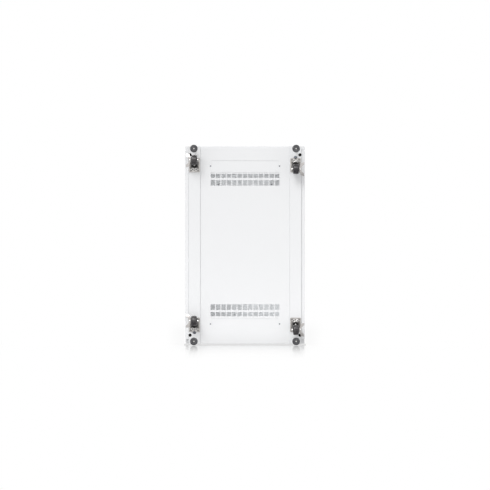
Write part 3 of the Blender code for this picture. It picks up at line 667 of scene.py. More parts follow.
def thread(radius, low, high, pitch=0.0015, steps=14):
    """The helical ridge of a screw thread round the Z axis."""
    form = bmesh.new()
    depth = pitch * 0.42
    tooth = [(radius - depth, -pitch * 0.45), (radius, -pitch * 0.06), (radius, pitch * 0.06),
             (radius - depth, pitch * 0.45)]
    points = [form.verts.new((r, 0, low + pitch / 2 + z)) for r, z in tooth]
    face = form.faces.new(points)
    turns = int((high - low) / pitch) - 1
    bmesh.ops.spin(
        form, geom=[face], cent=(0, 0, 0), axis=(0, 0, 1), dvec=(0, 0, pitch / steps),
        angle=2 * math.pi * turns, steps=steps * turns, use_merge=False, use_duplicate=False,
    )
    bmesh.ops.recalc_face_normals(form, faces=form.faces)
    return form


def foot_stud(tag):
    low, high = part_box(f"foot_stud_{tag}")
    x, y = (low.x + high.x) / 2, (low.y + high.y) / 2
    radius, root, thread_start = 0.005, 0.0044, 0.0185
    core = spin_profile(
        [(0, high.z), (radius - 0.0013, high.z), (root, high.z - 0.0008),
         (root, low.z + 0.0014), (radius - 0.0016, low.z), (0, low.z)],
        (x, y, 0), "Z", 24,
    )
    ridge = thread(radius, thread_start, high.z - 0.0012)
    bmesh.ops.translate(ridge, vec=(x, y, 0), verts=ridge.verts)
    collar = hexagon((x, y, 0.0112), "Z", 0.0135, 0.0062)
    finish_piece(gathered([core, ridge, collar]), f"foot_stud_{tag}_finished", f"foot_{tag}",
                 BRIGHT_STEEL, f"foot_stud_{tag}")
    nut = hexagon((x, y, BEAM_FLOOR - 0.0001), "-Z", 0.016, 0.0055)
    ring = washer((x, y, BEAM_FLOOR), "-Z", 0.0118, 0.0053, 0.0012)
    finish_piece(gathered([nut, ring]), f"foot_nut_{tag}", "frame", BRIGHT_STEEL)


for _, _, tag in CORNERS:
    foot_pad(tag)
    foot_stud(tag)
print("levelling feet:", len(CORNERS))

# %% [markdown]
# ## Casters
# A swivel caster is a stamped plate bolted to the beam, a ball race, a fork that turns under it,
# a wheel on an axle, and a brake pedal beside the fork.
# The plate is stiffened by embossed ribs that run from the race towards the corners. The ribs are near
# white, a painted highlight, and a dark ring round the race is a painted shade.

# %% The mounting plate
SHEET = 0.002
PLATE_CORNER = 0.005
RIB_WIDTH = 0.0032
PLATE_RIB = ((0.0006, 0.0214), (0.0100, 0.0262), (0.0172, 0.0206), (0.0134, 0.0178))
DISH = (0.0209, 0.0268)
DISH_HALF_WIDTH = 0.0215
BOLT_SPOT = (0.018, 0.0275)
BEAM_BOLT_AWAY = 0.0375


def bar_between(start, end, height):
    """A low rounded rib from one point to another, standing down from their height."""
    start, end = Vector(start), Vector(end)
    along = end - start
    form = block((along.length, RIB_WIDTH, height * 2), (0, 0, 0), height * 0.7, 3)
    turn = Matrix.Rotation(math.atan2(along.y, along.x), 3, "Z")
    bmesh.ops.rotate(form, matrix=turn, verts=form.verts)
    bmesh.ops.translate(form, vec=(start + end) / 2, verts=form.verts)
    return form


def four_ribs(x, y, z, corners, height):
    """The same line of ribs towards each of the four corners round the swivel's axis."""
    ribs = []
    for end in ENDS.values():
        for side in SIDES.values():
            points = [(x + side * across, y + end * along, z) for across, along in corners]
            ribs += [bar_between(first, second, height) for first, second in zip(points, points[1:])]
    return gathered(ribs)


def race_dish(x, y, floor):
    """The shallow pressed ring round the ball race, cut off straight along the plate's sides. Its dark zinc
    is a painted shade.
    """
    inner, outer = DISH
    dish = spin_profile([(inner, 0.0001), (inner, -0.0003), (outer, -0.0003), (outer + 0.0002, 0.0001)],
                        (x, y, floor), "Z", 72)
    for side in SIDES.values():
        bmesh.ops.bisect_plane(dish, geom=dish.verts[:] + dish.edges[:] + dish.faces[:],
                               plane_co=(x + side * DISH_HALF_WIDTH, y, floor), plane_no=(side, 0, 0),
                               clear_outer=True)
    bmesh.ops.holes_fill(dish, edges=[e for e in dish.edges if e.is_boundary])
    return dish


def plate_bolts(x, y, floor):
    heads = []
    for side in SIDES.values():
        for end in ENDS.values():
            spot = Vector((x + side * BOLT_SPOT[0], y + end * BOLT_SPOT[1], floor))
            heads.append(washer(spot, "-Z", 0.0050, 0.0031, 0.0008))
            heads.append(hexagon(spot - Vector((0, 0, 0.0008)), "-Z", 0.0075, 0.0030))
    return gathered(heads)


def beam_bolt(x, y):
    height = 0.0052
    profile = [(0, -height)] + [(r, -z) for r, z in arc((0.0022, 0.0), height, 90, 0, 8)] + [(0, 0)]
    dome = spin_profile(profile, (x, y, BEAM_FLOOR), "Z", 32)
    return gathered([dome, washer((x, y, BEAM_FLOOR), "-Z", 0.0088, 0.002, 0.0010)])


def caster_plate(tag):
    node = f"caster_plate_{tag}"
    low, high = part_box(node)
    x, y, floor = (low.x + high.x) / 2, (low.y + high.y) / 2, high.z - SHEET
    form = merged_copy(node)
    corners = [e for e in outermost(form, sharp_edges(form, 60))
               if abs(e.verts[0].co.z - e.verts[1].co.z) > 1e-3]
    round_edges(form, corners, PLATE_CORNER, 4)
    round_edges(form, sharp_edges(form, 44), 0.0004, 2)
    finish_piece(form, f"{node}_finished", "frame", ZINC_STAMPING, node)
    ribs = four_ribs(x, y, floor, PLATE_RIB, 0.0013)
    # The ribs are a painted highlight.
    finish_piece(ribs, f"caster_ribs_{tag}", "frame", ZINC_HIGHLIGHT)
    # The dish is a painted shade round the race.
    finish_piece(race_dish(x, y, floor), f"caster_dish_{tag}", "frame", ZINC_PAINTED_SHADE)
    finish_piece(plate_bolts(x, y, floor), f"caster_bolts_{tag}", "frame", ZINC_BOLT)
    bolt = beam_bolt(x, y + math.copysign(BEAM_BOLT_AWAY, y))
    finish_piece(bolt, f"beam_bolt_{tag}", "frame", BLUE_ZINC)


for _, _, tag in CORNERS:
    caster_plate(tag)
print("caster plates:", len(CORNERS))

# %% [markdown]
# ### Fork, balls and axle nuts
# The fork is one pressing: a disc with two legs and a curved web that joins them on the side away
# from the wheel. A ring of small balls shows in the gap of the race, and the axle ends in a
# rounded nut on each side.

# %% The fork
CROWN_RIB = ((0.0004, 0.0190), (0.0124, 0.0144))
BALLS = 18
BALL_CIRCLE = 0.0182
AXLE_NUT_RADIUS = 0.0052


def fork_web(x, y, top, trail):
    """The curved wall between the fork's legs: three points spun half way round, then made solid."""
    web = bmesh.new()
    rows = [(0.0164, top - 0.0024), (0.0164, top - 0.0075), (0.0150, top - 0.0105)]
    points = [web.verts.new((radius, 0, z)) for radius, z in rows]
    lines = [web.edges.new(pair) for pair in zip(points, points[1:])]
    bmesh.ops.spin(web, geom=points + lines, cent=(0, 0, 0), axis=(0, 0, 1),
                   angle=-math.pi * trail, steps=20, use_merge=False, use_duplicate=False)
    bmesh.ops.recalc_face_normals(web, faces=web.faces)
    bmesh.ops.solidify(web, geom=web.faces[:], thickness=0.0016)
    bmesh.ops.recalc_face_normals(web, faces=web.faces)
    bmesh.ops.translate(web, vec=(x, y, 0), verts=web.verts)
    return web


def race_rings(x, y, floor):
    """The seal of the ball race, near black as painted shade, and the crown of the fork round it, in the
    fork's darker zinc, also painted shade.
    """
    seal = [(0.0046, 0.0001), (0.0122, 0.0001), (0.0122, -0.0004), (0.0100, -0.0007), (0.0046, -0.0004)]
    crown = [(0.0126, 0.0001), (0.0200, 0.0001), (0.0203, -0.0004)]
    crown += arc((0.0188, -0.0002), 0.0012, -10, -90, 4)
    crown += [(0.0150, -0.0005), (0.0132, -0.0010), (0.0126, -0.0006)]
    return [spin_profile(profile, (x, y, floor), "Z", 48) for profile in (seal, crown)]


def race_balls(x, y, z):
    balls = []
    for index in range(BALLS):
        turn = 2 * math.pi * index / BALLS
        ball = bmesh.new()
        bmesh.ops.create_uvsphere(ball, u_segments=10, v_segments=6, radius=0.0016)
        bmesh.ops.translate(ball, verts=ball.verts, vec=(
            x + BALL_CIRCLE * math.cos(turn), y + BALL_CIRCLE * math.sin(turn), z))
        balls.append(ball)
    return gathered(balls)


def axle_nuts(x, y, z):
    """A rounded nut beyond each leg. The one on the pedal's side stands further out."""
    nuts = []
    for side, axis in ((-1, "-X"), (1, "X")):
        beyond_pedal = side * x > 0
        face = x + side * (0.0193 if beyond_pedal else 0.0168)
        reach = 0.0042 if beyond_pedal else 0.0052
        profile = [(0, reach)] + arc((0.0034, reach - 0.0018), 0.0018, 90, 0, 6)
        profile += [(AXLE_NUT_RADIUS, 0.0004), (AXLE_NUT_RADIUS, 0), (0, 0)]
        nuts.append(spin_profile(profile, (face, y, z), axis, 32))
    return gathered(nuts)


def caster_fork(tag):
    node = f"caster_fork_{tag}"
    body = BODY_OF[node]
    low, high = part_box(node)
    plate_low, plate_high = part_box(f"caster_plate_{tag}")
    wheel_low, wheel_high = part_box(f"caster_wheel_{tag}")
    x, y = (low.x + high.x) / 2, (plate_low.y + plate_high.y) / 2
    wheel_y, axle_z = (wheel_low.y + wheel_high.y) / 2, (wheel_low.z + wheel_high.z) / 2
    form = merged_copy(node)
    round_edges(form, sharp_edges(form, 44), 0.0005, 2)
    merge_into(form, fork_web(x, y, high.z, math.copysign(1, wheel_y - y)))
    # The fork takes a darker zinc, a painted shade.
    finish_piece(form, f"{node}_finished", body, ZINC_FORK_SHADED, node)
    disc_floor = high.z - 0.0025
    seal, crown = race_rings(x, y, disc_floor)
    # The seal is painted shade in the swivel's throat.
    finish_piece(seal, f"caster_race_seal_{tag}", body, RACE_SHADE)
    # The crown takes the fork's darker zinc, a painted shade.
    finish_piece(crown, f"caster_crown_{tag}", body, ZINC_FORK_SHADED)
    ribs = four_ribs(x, y, disc_floor - 0.0008, CROWN_RIB, 0.0011)
    # The crown's ribs are a painted highlight.
    finish_piece(ribs, f"caster_crown_ribs_{tag}", body, ZINC_HIGHLIGHT)
    finish_piece(race_balls(x, y, high.z + 0.0002), f"caster_balls_{tag}", body, BRIGHT_STEEL)
    # The axle nuts are a painted highlight.
    finish_piece(axle_nuts(x, wheel_y, axle_z), f"caster_axle_ends_{tag}", body, ZINC_HIGHLIGHT)
    dome = [(0, -0.0026)] + [(r, -z) for r, z in arc((0.0028, 0), 0.0026, 90, 0, 6)] + [(0, 0.0005)]
    pin = spin_profile(dome, (x, y, high.z - 0.0036), "Z", 28)
    finish_piece(pin, f"caster_kingpin_head_{tag}", body, BRIGHT_STEEL)


for _, _, tag in CORNERS:
    caster_fork(tag)
print("caster forks:", len(CORNERS), "with", BALLS, "balls each")

# %% [markdown]
# ### Wheel
# The wheel is a solid nylon moulding. Its tread is slightly crowned, its shoulders are round, and
# a raised hub stands in a shallow recess on each face.

# %% The wheel
FACE_CROWN = 0.0006
SHOULDER = 0.0056


def caster_wheel(tag):
    node = f"caster_wheel_{tag}"
    low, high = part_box(node)
    centre = (low + high) / 2
    half, radius = (high.x - low.x) / 2 + FACE_CROWN, (high.z - low.z) / 2
    side_face = [(0.0033, half), (0.0072, half), (0.0078, half - 0.0004), (0.0084, half - 0.0022)]
    side_face += [(0.0160, half - 0.0026), (0.0172, half - 0.0006), (0.0180, half - 0.0001)]
    rim = arc((radius - SHOULDER - 0.0003, half - 0.0001 - SHOULDER), SHOULDER, 90, 3, 8)
    one_half = side_face + rim + [(radius, half * 0.3), (radius, 0.0004)]
    profile = one_half + [(radius, 0)] + [(r, -h) for r, h in reversed(one_half)]
    form = spin_profile(profile, centre, "X", 72)
    finish_piece(form, f"{node}_finished", BODY_OF[node], NYLON_WHEEL, node, sharp=32)


for _, _, tag in CORNERS:
    caster_wheel(tag)
print("caster wheels:", len(CORNERS))

# %% [markdown]
# ### Brake pedal
# The pedal is a two-winged stamping that rocks on the axle: one foot presses the rear wing to
# brake and the front wing to let go. The wing beyond the axle curves up, so a toe finds it. The
# flat stamping is cut across in steps, and the steps are lifted along a parabola.

# %% The pedal
WING_FOLD = 0.010
WING_CURVE = 11.0
WING_STEPS = 6
WING_STEP = 0.004


def caster_pedal(tag):
    node = f"caster_pedal_{tag}"
    wheel_low, wheel_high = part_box(f"caster_wheel_{tag}")
    wheel_y = (wheel_low.y + wheel_high.y) / 2
    form = merged_copy(node)
    round_edges(form, sharp_edges(form, 44), 0.0004, 2)
    plate_low, plate_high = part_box(f"caster_plate_{tag}")
    trail = math.copysign(1, wheel_y - (plate_low.y + plate_high.y) / 2)
    fold = wheel_y + trail * WING_FOLD
    for step in range(WING_STEPS):
        bmesh.ops.bisect_plane(form, geom=form.verts[:] + form.edges[:] + form.faces[:],
                               plane_co=(0, fold + trail * step * WING_STEP, 0), plane_no=(0, 1, 0))
    for vert in form.verts:
        vert.co.z += max(0.0, (vert.co.y - fold) * trail) ** 2 * WING_CURVE
    finish_piece(form, f"{node}_finished", BODY_OF[node], PEDAL_NICKEL, node)


for _, _, tag in CORNERS:
    caster_pedal(tag)
print("brake pedals:", len(CORNERS))

# %% [markdown]
# ## Mounting rails
# Equipment bolts to square holes, three to every rack unit of 44.45 mm, where cage nuts clip in.
# The rail is a sheet: its cross-section is a line of points, which is extruded up in steps whose
# heights are the holes' edges. The hole faces are deleted, and the sheet is made solid.

# %% A rail with its square holes
RACK_UNIT = 0.04445
UNITS = 42
HOLE = 0.0095
HOLE_OFFSETS = (0.00635, 0.02223, 0.03810)
HOLE_X = 0.46510 / 2


def mounting_rail(end, side_name):
    node = f"mounting_rail_{end}_{side_name}"
    low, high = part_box(node)
    side = SIDES[side_name]
    inward = -ENDS[end]
    face_y = low.y if end == "front" else high.y
    inner, outer = min(abs(low.x), abs(high.x)), max(abs(low.x), abs(high.x))
    depth = high.y - low.y
    across = [(inner, 0.010), (inner, 0.0), (HOLE_X - HOLE / 2, 0.0), (HOLE_X + HOLE / 2, 0.0)]
    across += [(outer, 0.0), (outer, 0.012), (outer, 0.022), (outer, depth)]
    start = (low.z + high.z - UNITS * RACK_UNIT) / 2
    cuts = [start + unit * RACK_UNIT + offset for unit in range(UNITS) for offset in HOLE_OFFSETS]
    heights = [low.z] + [z + step for z in cuts for step in (-HOLE / 2, HOLE / 2)] + [high.z]
    form = bmesh.new()
    row = [form.verts.new((side * x, face_y + inward * y, heights[0])) for x, y in across]
    edges = [form.edges.new(pair) for pair in zip(row, row[1:])]
    for below, above in zip(heights, heights[1:]):
        made = bmesh.ops.extrude_edge_only(form, edges=edges)["geom"]
        verts = [item for item in made if isinstance(item, bmesh.types.BMVert)]
        edges = [
            item for item in made
            if isinstance(item, bmesh.types.BMEdge) and all(vert in verts for vert in item.verts)
            and abs(item.verts[0].co.z - item.verts[1].co.z) < 1e-7
        ]
        bmesh.ops.translate(form, vec=(0, 0, above - below), verts=verts)

    def is_hole(face):
        centre = face.calc_center_median()
        level = next(i for i in range(len(heights) - 1) if heights[i] <= centre.z <= heights[i + 1])
        in_slot = level % 2 == 1
        on_flange = abs(centre.y - face_y) < 1e-6 and abs(abs(centre.x) - HOLE_X) < 0.001
        on_web = abs(abs(centre.x) - outer) < 1e-6 and abs(abs(centre.y - face_y) - 0.017) < 0.001
        return in_slot and (on_flange or (on_web and level % 6 == 3))

    bmesh.ops.delete(form, geom=[f for f in form.faces if is_hole(f)], context="FACES")
    middle = Vector((side * (inner + outer) / 2, face_y + inward * depth / 2, 0))
    for face in form.faces:
        towards = middle - face.calc_center_median()
        towards.z = 0
        if face.normal.length < 1e-9:
            face.normal_update()
        if face.normal.dot(towards) > 0:
            face.normal_flip()
    bmesh.ops.solidify(form, geom=form.faces[:], thickness=SHEET)
    bmesh.ops.recalc_face_normals(form, faces=form.faces)
    finish_piece(form, f"{node}_finished", "frame", ZINC_RAIL, node)


for end in ENDS:
    for side_name in SIDES:
        mounting_rail(end, side_name)
print("rails:", UNITS * len(HOLE_OFFSETS), "holes each")

# %% [markdown]
# ## Frame, roof and panels
# Posts and supports are folded sections, so they only need their folds rounded. The roof, the
# doors and the side panels are pans: a flat face with edges folded back.

# %% Posts, supports, roof and its covers
for end in ENDS:
    for side in SIDES:
        refine(f"corner_post_{end}_{side}", WHITE_INSIDE, fold=0.0018)
for level in ("lower", "upper"):
    for side in SIDES:
        refine(f"depth_support_{level}_{side}", WHITE_INSIDE, fold=0.0012)
refine("roof_panel", WHITE, fold=0.0030, edge=0.0003)
for end in ENDS:
    refine(f"roof_cable_cover_{end}", WHITE, edge=0.0004)
for side in SIDES:
    refine(f"side_panel_{side}", WHITE, fold=0.0024, edge=0.0003)
    refine(f"side_lock_{side}", HANDLE_PLASTIC, edge=0.0006)
print("frame and panels rounded")

# %% [markdown]
# ## Doors
# The front door is a folded frame round a tempered glass pane, which lies in a rubber seal. The
# rear door is one sheet with two fields of vents. Strips of foam on the posts close the gap.

# %% The door leaves and hinges
refine("front_door_frame", WHITE, fold=0.0026, edge=0.0003)
refine("rear_door", WHITE, fold=0.0026, edge=0.0003)
refine("rear_lock", HANDLE_PLASTIC, edge=0.0006)
refine("front_door_glass", GLASS, edge=0.0005)
for end in ENDS:
    for level in ("lower", "upper"):
        refine(f"{end}_hinge_{level}", BRIGHT_STEEL, edge=0.0004)
print("doors, glass and", 2 * len(ENDS), "hinges rounded")

# %% [markdown]
# ### Seals
# A seal round an opening is a flat ring: four faces between two rectangles, extruded to the seal's
# thickness and softened.

# %% A rectangular ring
def ring(low_x, high_x, low_z, high_z, width, low_y, high_y, soft):
    """A rectangular ring in the XZ plane, low_y to high_y thick."""
    form = bmesh.new()
    loops = []
    for inward in (0, width):
        left, right, bottom, top = low_x + inward, high_x - inward, low_z + inward, high_z - inward
        corners = [(left, bottom), (right, bottom), (right, top), (left, top)]
        loops.append([form.verts.new((x, low_y, z)) for x, z in corners])
    outer, inner = loops
    for one, two in ((0, 1), (1, 2), (2, 3), (3, 0)):
        form.faces.new((outer[one], outer[two], inner[two], inner[one]))
    made = bmesh.ops.extrude_face_region(form, geom=form.faces[:])["geom"]
    moved = [item for item in made if isinstance(item, bmesh.types.BMVert)]
    bmesh.ops.translate(form, vec=(0, high_y - low_y, 0), verts=moved)
    bmesh.ops.recalc_face_normals(form, faces=form.faces)
    round_edges(form, sharp_edges(form, 44), soft, 3)
    return form


print("ring helper ready")

# %% [markdown]
# ### Glass seal and bead
# The pane sits on a rubber seal behind it, and a thin bead covers the gap round it in front.

# %% Seal and bead of the glass
glass_low, glass_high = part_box("front_door_glass")
seal = ring(glass_low.x + 0.0002, glass_high.x - 0.0002, glass_low.z + 0.0002, glass_high.z - 0.0002,
            0.009, glass_high.y + 0.0002, glass_high.y + 0.0042, 0.0012)
finish_piece(seal, "front_door_glass_seal", "front_door", SEAL_RUBBER)
bead = ring(glass_low.x, glass_high.x, glass_low.z, glass_high.z, 0.0045,
            glass_low.y - 0.0012, glass_low.y - 0.0001, 0.0004)
finish_piece(bead, "front_door_glass_bead", "front_door", SEAL_RUBBER)
print("glass", [round(high - low, 3) for low, high in zip(glass_low, glass_high)])

# %% [markdown]
# ### Foam strips
# A strip of foam is glued along each corner post. It takes up the gap behind the closed door.

# %% Foam strips on the posts
FOAM_X, FOAM_LOW, FOAM_HIGH = 0.268, 0.135, 1.995
FOAM_WIDTH, FOAM_THICKNESS = 0.012, 0.0042
for end in ENDS:
    for side_name, side in SIDES.items():
        post_low, post_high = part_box(f"corner_post_{end}_{side_name}")
        face = post_low.y if end == "front" else post_high.y
        centre = (side * FOAM_X, face + ENDS[end] * FOAM_THICKNESS / 2, (FOAM_LOW + FOAM_HIGH) / 2)
        strip = block((FOAM_WIDTH, FOAM_THICKNESS, FOAM_HIGH - FOAM_LOW), centre, 0.0012, 3)
        finish_piece(strip, f"foam_seal_{end}_{side_name}", "frame", FOAM_SEAL)
print("foam strips:", len(CORNERS))

# %% [markdown]
# ### Handle
# The front door's handle lies on a plate. It lifts off by its lower end and then turns, and a key
# cylinder in the lever locks it down.

# %% Handle parts
for node, edge in (("handle_base", 0.0009), ("handle_hub", 0.0004), ("handle_lever", 0.0013)):
    refine(node, HANDLE_PLASTIC, edge=edge)
refine("key_cylinder", BRIGHT_STEEL, edge=0.0004)
key_low, key_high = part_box("key_cylinder")
key_centre = ((key_low.x + key_high.x) / 2, key_low.y, (key_low.z + key_high.z) / 2)
key_slot = block((0.0014, 0.0004, 0.0062), key_centre)
finish_piece(key_slot, "key_cylinder_slot", "key_cylinder", HANDLE_PLASTIC)
print("handle height", round(key_centre[2], 3))

# %% [markdown]
# ## Anything left
# Every CAD node that no piece stands for keeps its own mesh and gets its finish here.

# %% Finish what is left
FINISH = {
    "white_paint": WHITE, "zinc": ZINC_STAMPING, "steel": BRIGHT_STEEL, "dark_plastic": FOOT_PLASTIC,
    "wheel_plastic": NYLON_WHEEL, "pedal_nickel": PEDAL_NICKEL, "handle_black": HANDLE_PLASTIC,
    "glass": GLASS,
}
for node, thing in frame["nodes"].items():
    thing.data.materials.clear()
    thing.data.materials.append(FINISH[SLOT_OF[node]])
left = [node for node, thing in frame["nodes"].items() if not thing.hide_render]
print("CAD nodes shown as they are:", left)

# %% [markdown]
# ## Stage, light and camera
# The main camera looks up from below the floor, so the floor is opaque from above and vanishes
# from below. There it leaves only a painted shade beside the cabinet and a thin painted contact
# shadow along the rear edge.

# %% The floor
def stage_plane(name, low, high, plane):
    """A rectangle in the XY plane ("Z", at height plane) or the XZ plane ("Y", at depth plane)."""
    form = bmesh.new()
    bmesh.ops.create_grid(form, x_segments=1, y_segments=1, size=0.5)
    bmesh.ops.scale(form, vec=(high[0] - low[0], high[1] - low[1], 1), verts=form.verts)
    middle = ((low[0] + high[0]) / 2, (low[1] + high[1]) / 2)
    if plane[0] == "Y":
        bmesh.ops.rotate(form, matrix=Matrix.Rotation(math.pi / 2, 3, "X"), verts=form.verts)
        place = (middle[0], plane[1], middle[1])
    else:
        place = (middle[0], middle[1], plane[1])
    bmesh.ops.translate(form, vec=place, verts=form.verts)
    mesh = bpy.data.meshes.new(name)
    form.to_mesh(mesh)
    form.free()
    thing = bpy.data.objects.new(name, mesh)
    bpy.context.scene.collection.objects.link(thing)
    return thing


def ramp(tree, value, start, stop, low, high):
    """A clamped smooth ramp from low at start to high at stop."""
    node = tree.nodes.new("ShaderNodeMapRange")
    node.interpolation_type = "SMOOTHSTEP"
    turned = start > stop
    node.inputs["From Min"].default_value = stop if turned else start
    node.inputs["From Max"].default_value = start if turned else stop
    node.inputs["To Min"].default_value = high if turned else low
    node.inputs["To Max"].default_value = low if turned else high
    tree.links.new(value, node.inputs["Value"])
    return node.outputs["Result"]


def floor_material():
    """White from above for the camera and through glass, and clear for every other ray.

    From below the camera sees only a faint painted shade and a painted contact shadow line.
    """
    material, tree, shader = start_material("studio_floor", 0.6)
    shader.inputs["Base Color"].default_value = (0.90, 0.90, 0.905, 1)
    shader.inputs["Specular IOR Level"].default_value = 0.2
    place = tree.nodes.new("ShaderNodeTexCoord").outputs["Object"]
    length = tree.nodes.new("ShaderNodeVectorMath")
    length.operation = "LENGTH"
    tree.links.new(place, length.inputs[0])
    far = ramp(tree, length.outputs["Value"], 1.6, 6.5, 0.0, 1.0)
    glow = tree.nodes.new("ShaderNodeEmission")
    blend = tree.nodes.new("ShaderNodeMixShader")
    tree.links.new(far, blend.inputs["Fac"])
    tree.links.new(shader.outputs["BSDF"], blend.inputs[1])
    tree.links.new(glow.outputs["Emission"], blend.inputs[2])
    split = tree.nodes.new("ShaderNodeSeparateXYZ")
    tree.links.new(place, split.inputs["Vector"])
    across = add_math(tree, "ABSOLUTE", split.outputs["X"], 0.0)
    # Painted shadow: a soft shade on the floor beside the cabinet.
    beside = ramp(tree, across, 0.4, 0.305, 0.0, 1.0)
    outside = ramp(tree, across, 0.3002, 0.3012, 0.0, 1.0)
    along = add_math(tree, "MINIMUM", ramp(tree, split.outputs["Y"], 0.36, 0.44, 0.0, 0.045),
                     ramp(tree, split.outputs["Y"], 0.58, 0.50, 0.0, 0.045))
    halo = add_math(tree, "MULTIPLY", add_math(tree, "MULTIPLY", beside, outside), along)
    # Painted shadow: a thin dark line along the rear edge under the cabinet.
    under = ramp(tree, across, 0.303, 0.299, 0.0, 1.0)
    contact = ramp(tree, split.outputs["Y"], 0.4865, 0.4905, 0.0, 0.27)
    ends = ramp(tree, split.outputs["Y"], 0.5000, 0.4990, 0.0, 1.0)
    line = add_math(tree, "MULTIPLY", under, add_math(tree, "MULTIPLY", contact, ends))
    shade = add_math(tree, "MAXIMUM", halo, line)
    clear = tree.nodes.new("ShaderNodeBsdfTransparent")
    lit = tree.nodes.new("ShaderNodeCombineColor")
    rays = tree.nodes.new("ShaderNodeLightPath").outputs
    veil = add_math(tree, "MULTIPLY", shade, rays["Is Camera Ray"])
    straight = add_math(tree, "MAXIMUM", rays["Is Camera Ray"], rays["Is Transmission Ray"])
    level = add_math(tree, "SUBTRACT", 1.0, veil)
    for channel in lit.inputs[:3]:
        tree.links.new(level, channel)
    tree.links.new(lit.outputs["Color"], clear.inputs["Color"])
    side = tree.nodes.new("ShaderNodeNewGeometry")
    above = add_math(tree, "SUBTRACT", 1.0, side.outputs["Backfacing"])
    seen = add_math(tree, "MULTIPLY", straight, above)
    mix = tree.nodes.new("ShaderNodeMixShader")
    tree.links.new(seen, mix.inputs["Fac"])
    tree.links.new(clear.outputs["BSDF"], mix.inputs[1])
    tree.links.new(blend.outputs["Shader"], mix.inputs[2])
    tree.links.new(mix.outputs["Shader"], tree.nodes["Material Output"].inputs["Surface"])
    return material


floor = stage_plane("studio_floor", (-30, -30), (30, 30), ("Z", 0.0))
floor.data.materials.append(floor_material())
print("floor at z = 0")

# %% [markdown]
# ### Rear sheet
# Seen from below, the cabinet looks as if it lay on its back on a white table. A second sheet is
# that table. It stands upright below the floor against the rear edge, mirrors the feet faintly,
# carries a painted shade and a painted contact shadow near the cabinet, and fades to plain white.

# %% The sheet that the cabinet's rear lies on
REAR = cad_box[1].y
BACK_SHEET_REACH = 0.80


def back_sheet_material():
    """White light, with a mirror image that fades with the distance from the cabinet, and painted shade
    near the cabinet's rear edge and beside it.
    """
    material = bpy.data.materials.new("back_sheet")
    material.use_nodes = True
    tree = material.node_tree
    tree.nodes.remove(tree.nodes["Principled BSDF"])
    place = tree.nodes.new("ShaderNodeTexCoord")
    split = tree.nodes.new("ShaderNodeSeparateXYZ")
    tree.links.new(place.outputs["Object"], split.inputs["Vector"])
    near = tree.nodes.new("ShaderNodeMapRange")
    near.inputs["From Min"].default_value = -BACK_SHEET_REACH
    near.inputs["From Max"].default_value = 0.0
    tree.links.new(split.outputs["Z"], near.inputs["Value"])
    squared = add_math(tree, "MULTIPLY", near.outputs["Result"], near.outputs["Result"])
    across = add_math(tree, "ABSOLUTE", split.outputs["X"], 0.0)
    under = ramp(tree, across, 0.31, 0.295, 0.0, 1.0)
    # Painted shade: the white light is dimmed near the cabinet's rear edge and beside it.
    contact = ramp(tree, split.outputs["Z"], -0.075, -0.005, 0.0, 0.16)
    soft = ramp(tree, split.outputs["Z"], -0.5, 0.0, 0.0, 0.06)
    dark = add_math(tree, "MULTIPLY", add_math(tree, "ADD", contact, soft), under)
    halo = add_math(tree, "MULTIPLY", ramp(tree, across, 0.4, 0.29, 0.0, 1.0),
                    ramp(tree, split.outputs["Z"], -0.35, 0.0, 0.0, 0.04))
    shade = add_math(tree, "MAXIMUM", dark, halo)
    white = tree.nodes.new("ShaderNodeEmission")
    tree.links.new(add_math(tree, "SUBTRACT", 1.0, shade), white.inputs["Strength"])
    mirror = tree.nodes.new("ShaderNodeBsdfGlossy")
    mirror.inputs["Color"].default_value = (1, 1, 1, 1)
    mirror.inputs["Roughness"].default_value = 0.10
    mix = tree.nodes.new("ShaderNodeMixShader")
    tree.links.new(add_math(tree, "MULTIPLY", squared, 0.62), mix.inputs["Fac"])
    tree.links.new(white.outputs["Emission"], mix.inputs[1])
    tree.links.new(mirror.outputs["BSDF"], mix.inputs[2])
    tree.links.new(mix.outputs["Shader"], tree.nodes["Material Output"].inputs["Surface"])
    return material


back_sheet = stage_plane("back_sheet", (-4, -BACK_SHEET_REACH), (4, -0.0005), ("Y", REAR + 0.0005))
back_sheet.data.materials.append(back_sheet_material())
back_sheet.visible_glossy = False
back_sheet.visible_transmission = False
back_sheet.visible_shadow = False
print("rear sheet at y =", round(REAR, 4))

# %% [markdown]
# ### World and lamps
# The background is pure white. It lights the cabinet evenly, and a soft sun from the front left
# below models the casters. For the camera the world stays at full white whatever light it gives.

# %% World
WORLD_LIGHT = 0.70
DARK_SIDE = 0.42


def build_world():
    world = bpy.data.worlds.new("white_studio")
    world.use_nodes = True
    tree = world.node_tree
    background = tree.nodes["Background"]
    rays = tree.nodes.new("ShaderNodeLightPath").outputs
    ray = tree.nodes.new("ShaderNodeTexCoord").outputs["Generated"]
    towards = tree.nodes.new("ShaderNodeVectorMath")
    towards.operation = "DOT_PRODUCT"
    towards.inputs[1].default_value = Vector((-0.35, -0.75, -0.45)).normalized()
    tree.links.new(ray, towards.inputs[0])
    bright = ramp(tree, towards.outputs["Value"], -0.35, 0.85, DARK_SIDE, 1.0)
    split = tree.nodes.new("ShaderNodeSeparateXYZ")
    tree.links.new(ray, split.inputs["Vector"])
    above = ramp(tree, split.outputs["Z"], 0.55, 0.9, 0.0, 1.0)
    glossy = rays["Is Glossy Ray"]
    mirrored = add_math(tree, "MULTIPLY", add_math(tree, "MAXIMUM", bright, above), glossy)
    others = add_math(tree, "MULTIPLY", WORLD_LIGHT, add_math(tree, "SUBTRACT", 1.0, glossy))
    given = add_math(tree, "ADD", mirrored, others)
    straight = add_math(tree, "MAXIMUM", rays["Is Camera Ray"], rays["Is Transmission Ray"])
    strength = add_math(tree, "MAXIMUM", given, straight)
    background.inputs["Color"].default_value = (1, 1, 1, 1)
    tree.links.new(strength, background.inputs["Strength"])
    bpy.context.scene.world = world


build_world()
print("world light", WORLD_LIGHT)

# %% [markdown]
# ### Lamps
# A wide sun is the key from below, and two discs light the doors and the roof from above. A long
# lamp that only glossy surfaces see puts a sheen on the wheels, and a weak one inside the cabinet
# brightens what shows through the vents.

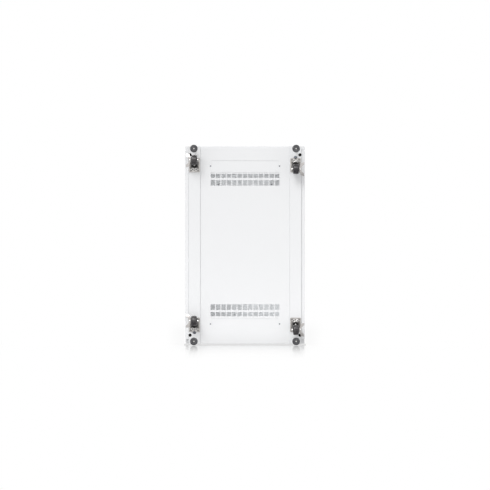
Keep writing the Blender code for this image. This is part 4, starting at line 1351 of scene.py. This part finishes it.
# %% Lamps
def area_lamp(name, place, target, size, power, spread=180):
    lamp = bpy.data.lights.new(name, "AREA")
    lamp.shape = "DISK"
    lamp.size = size
    lamp.energy = power
    lamp.spread = math.radians(spread)
    thing = bpy.data.objects.new(name, lamp)
    thing.location = place
    thing.rotation_mode = "QUATERNION"
    thing.rotation_quaternion = (Vector(target) - Vector(place)).to_track_quat("-Z", "Y")
    bpy.context.scene.collection.objects.link(thing)
    thing.visible_camera = False
    return thing


def sun_lamp(name, towards, strength, angle):
    lamp = bpy.data.lights.new(name, "SUN")
    lamp.energy = strength
    lamp.angle = math.radians(angle)
    thing = bpy.data.objects.new(name, lamp)
    thing.rotation_mode = "QUATERNION"
    thing.rotation_quaternion = Vector(towards).to_track_quat("-Z", "Y")
    bpy.context.scene.collection.objects.link(thing)
    return thing


sun_lamp("key_below", (0.30, 0.78, 0.72), 1.34, 30)
sheen = area_lamp("wheel_sheen", (0, -2.3, -2.5), (0, 0, 0), 2.4, 24)
sheen.data.shape = "ELLIPSE"
sheen.data.size_y = 0.8
sheen.visible_diffuse = False
area_lamp("key_above", (-3.2, -3.6, 4.2), (0, 0, 1.0), 2.2, 34)
area_lamp("fill_above", (3.6, 1.8, 3.4), (0, 0, 1.0), 2.6, 30)
inside = area_lamp("light_inside", (0, 0, 0.9), (0, 0, 2.0), 0.3, 1.45, spread=100)
inside.visible_glossy = False
inside.visible_transmission = False
print("lamps:", len(bpy.data.lights))

# %% [markdown]
# ### Camera
# A long lens from far below shows the underside almost flat, with the inner faces of the wheels and
# the side panels just in sight.

# %% Camera
CAMERA_DISTANCE = 6.4
CAMERA_LENS = 93.9


def build_camera():
    """Straight below the cabinet, with the front edge at the top of the view."""
    lens = bpy.data.cameras.new("main_camera")
    lens.sensor_width = 36.0
    lens.lens = CAMERA_LENS
    camera = bpy.data.objects.new("main_camera", lens)
    camera.location = (0, 0, PANEL_FLOOR - CAMERA_DISTANCE)
    camera.rotation_euler = (math.pi, 0, 0)
    lens.clip_end = 200
    bpy.context.scene.collection.objects.link(camera)
    bpy.context.scene.camera = camera


build_camera()
bpy.context.scene.view_settings.view_transform = "Standard"
bpy.context.scene.view_settings.look = "None"
print("camera", CAMERA_DISTANCE, "m below the bottom panel")

# %% [markdown]
# ## The size
# The dressed cabinet must stay as large as the frame says. The frame's box is printed.

# %% Print the frame's box and finish
print("CAD box", [round(v, 4) for c in cad_box for v in c])
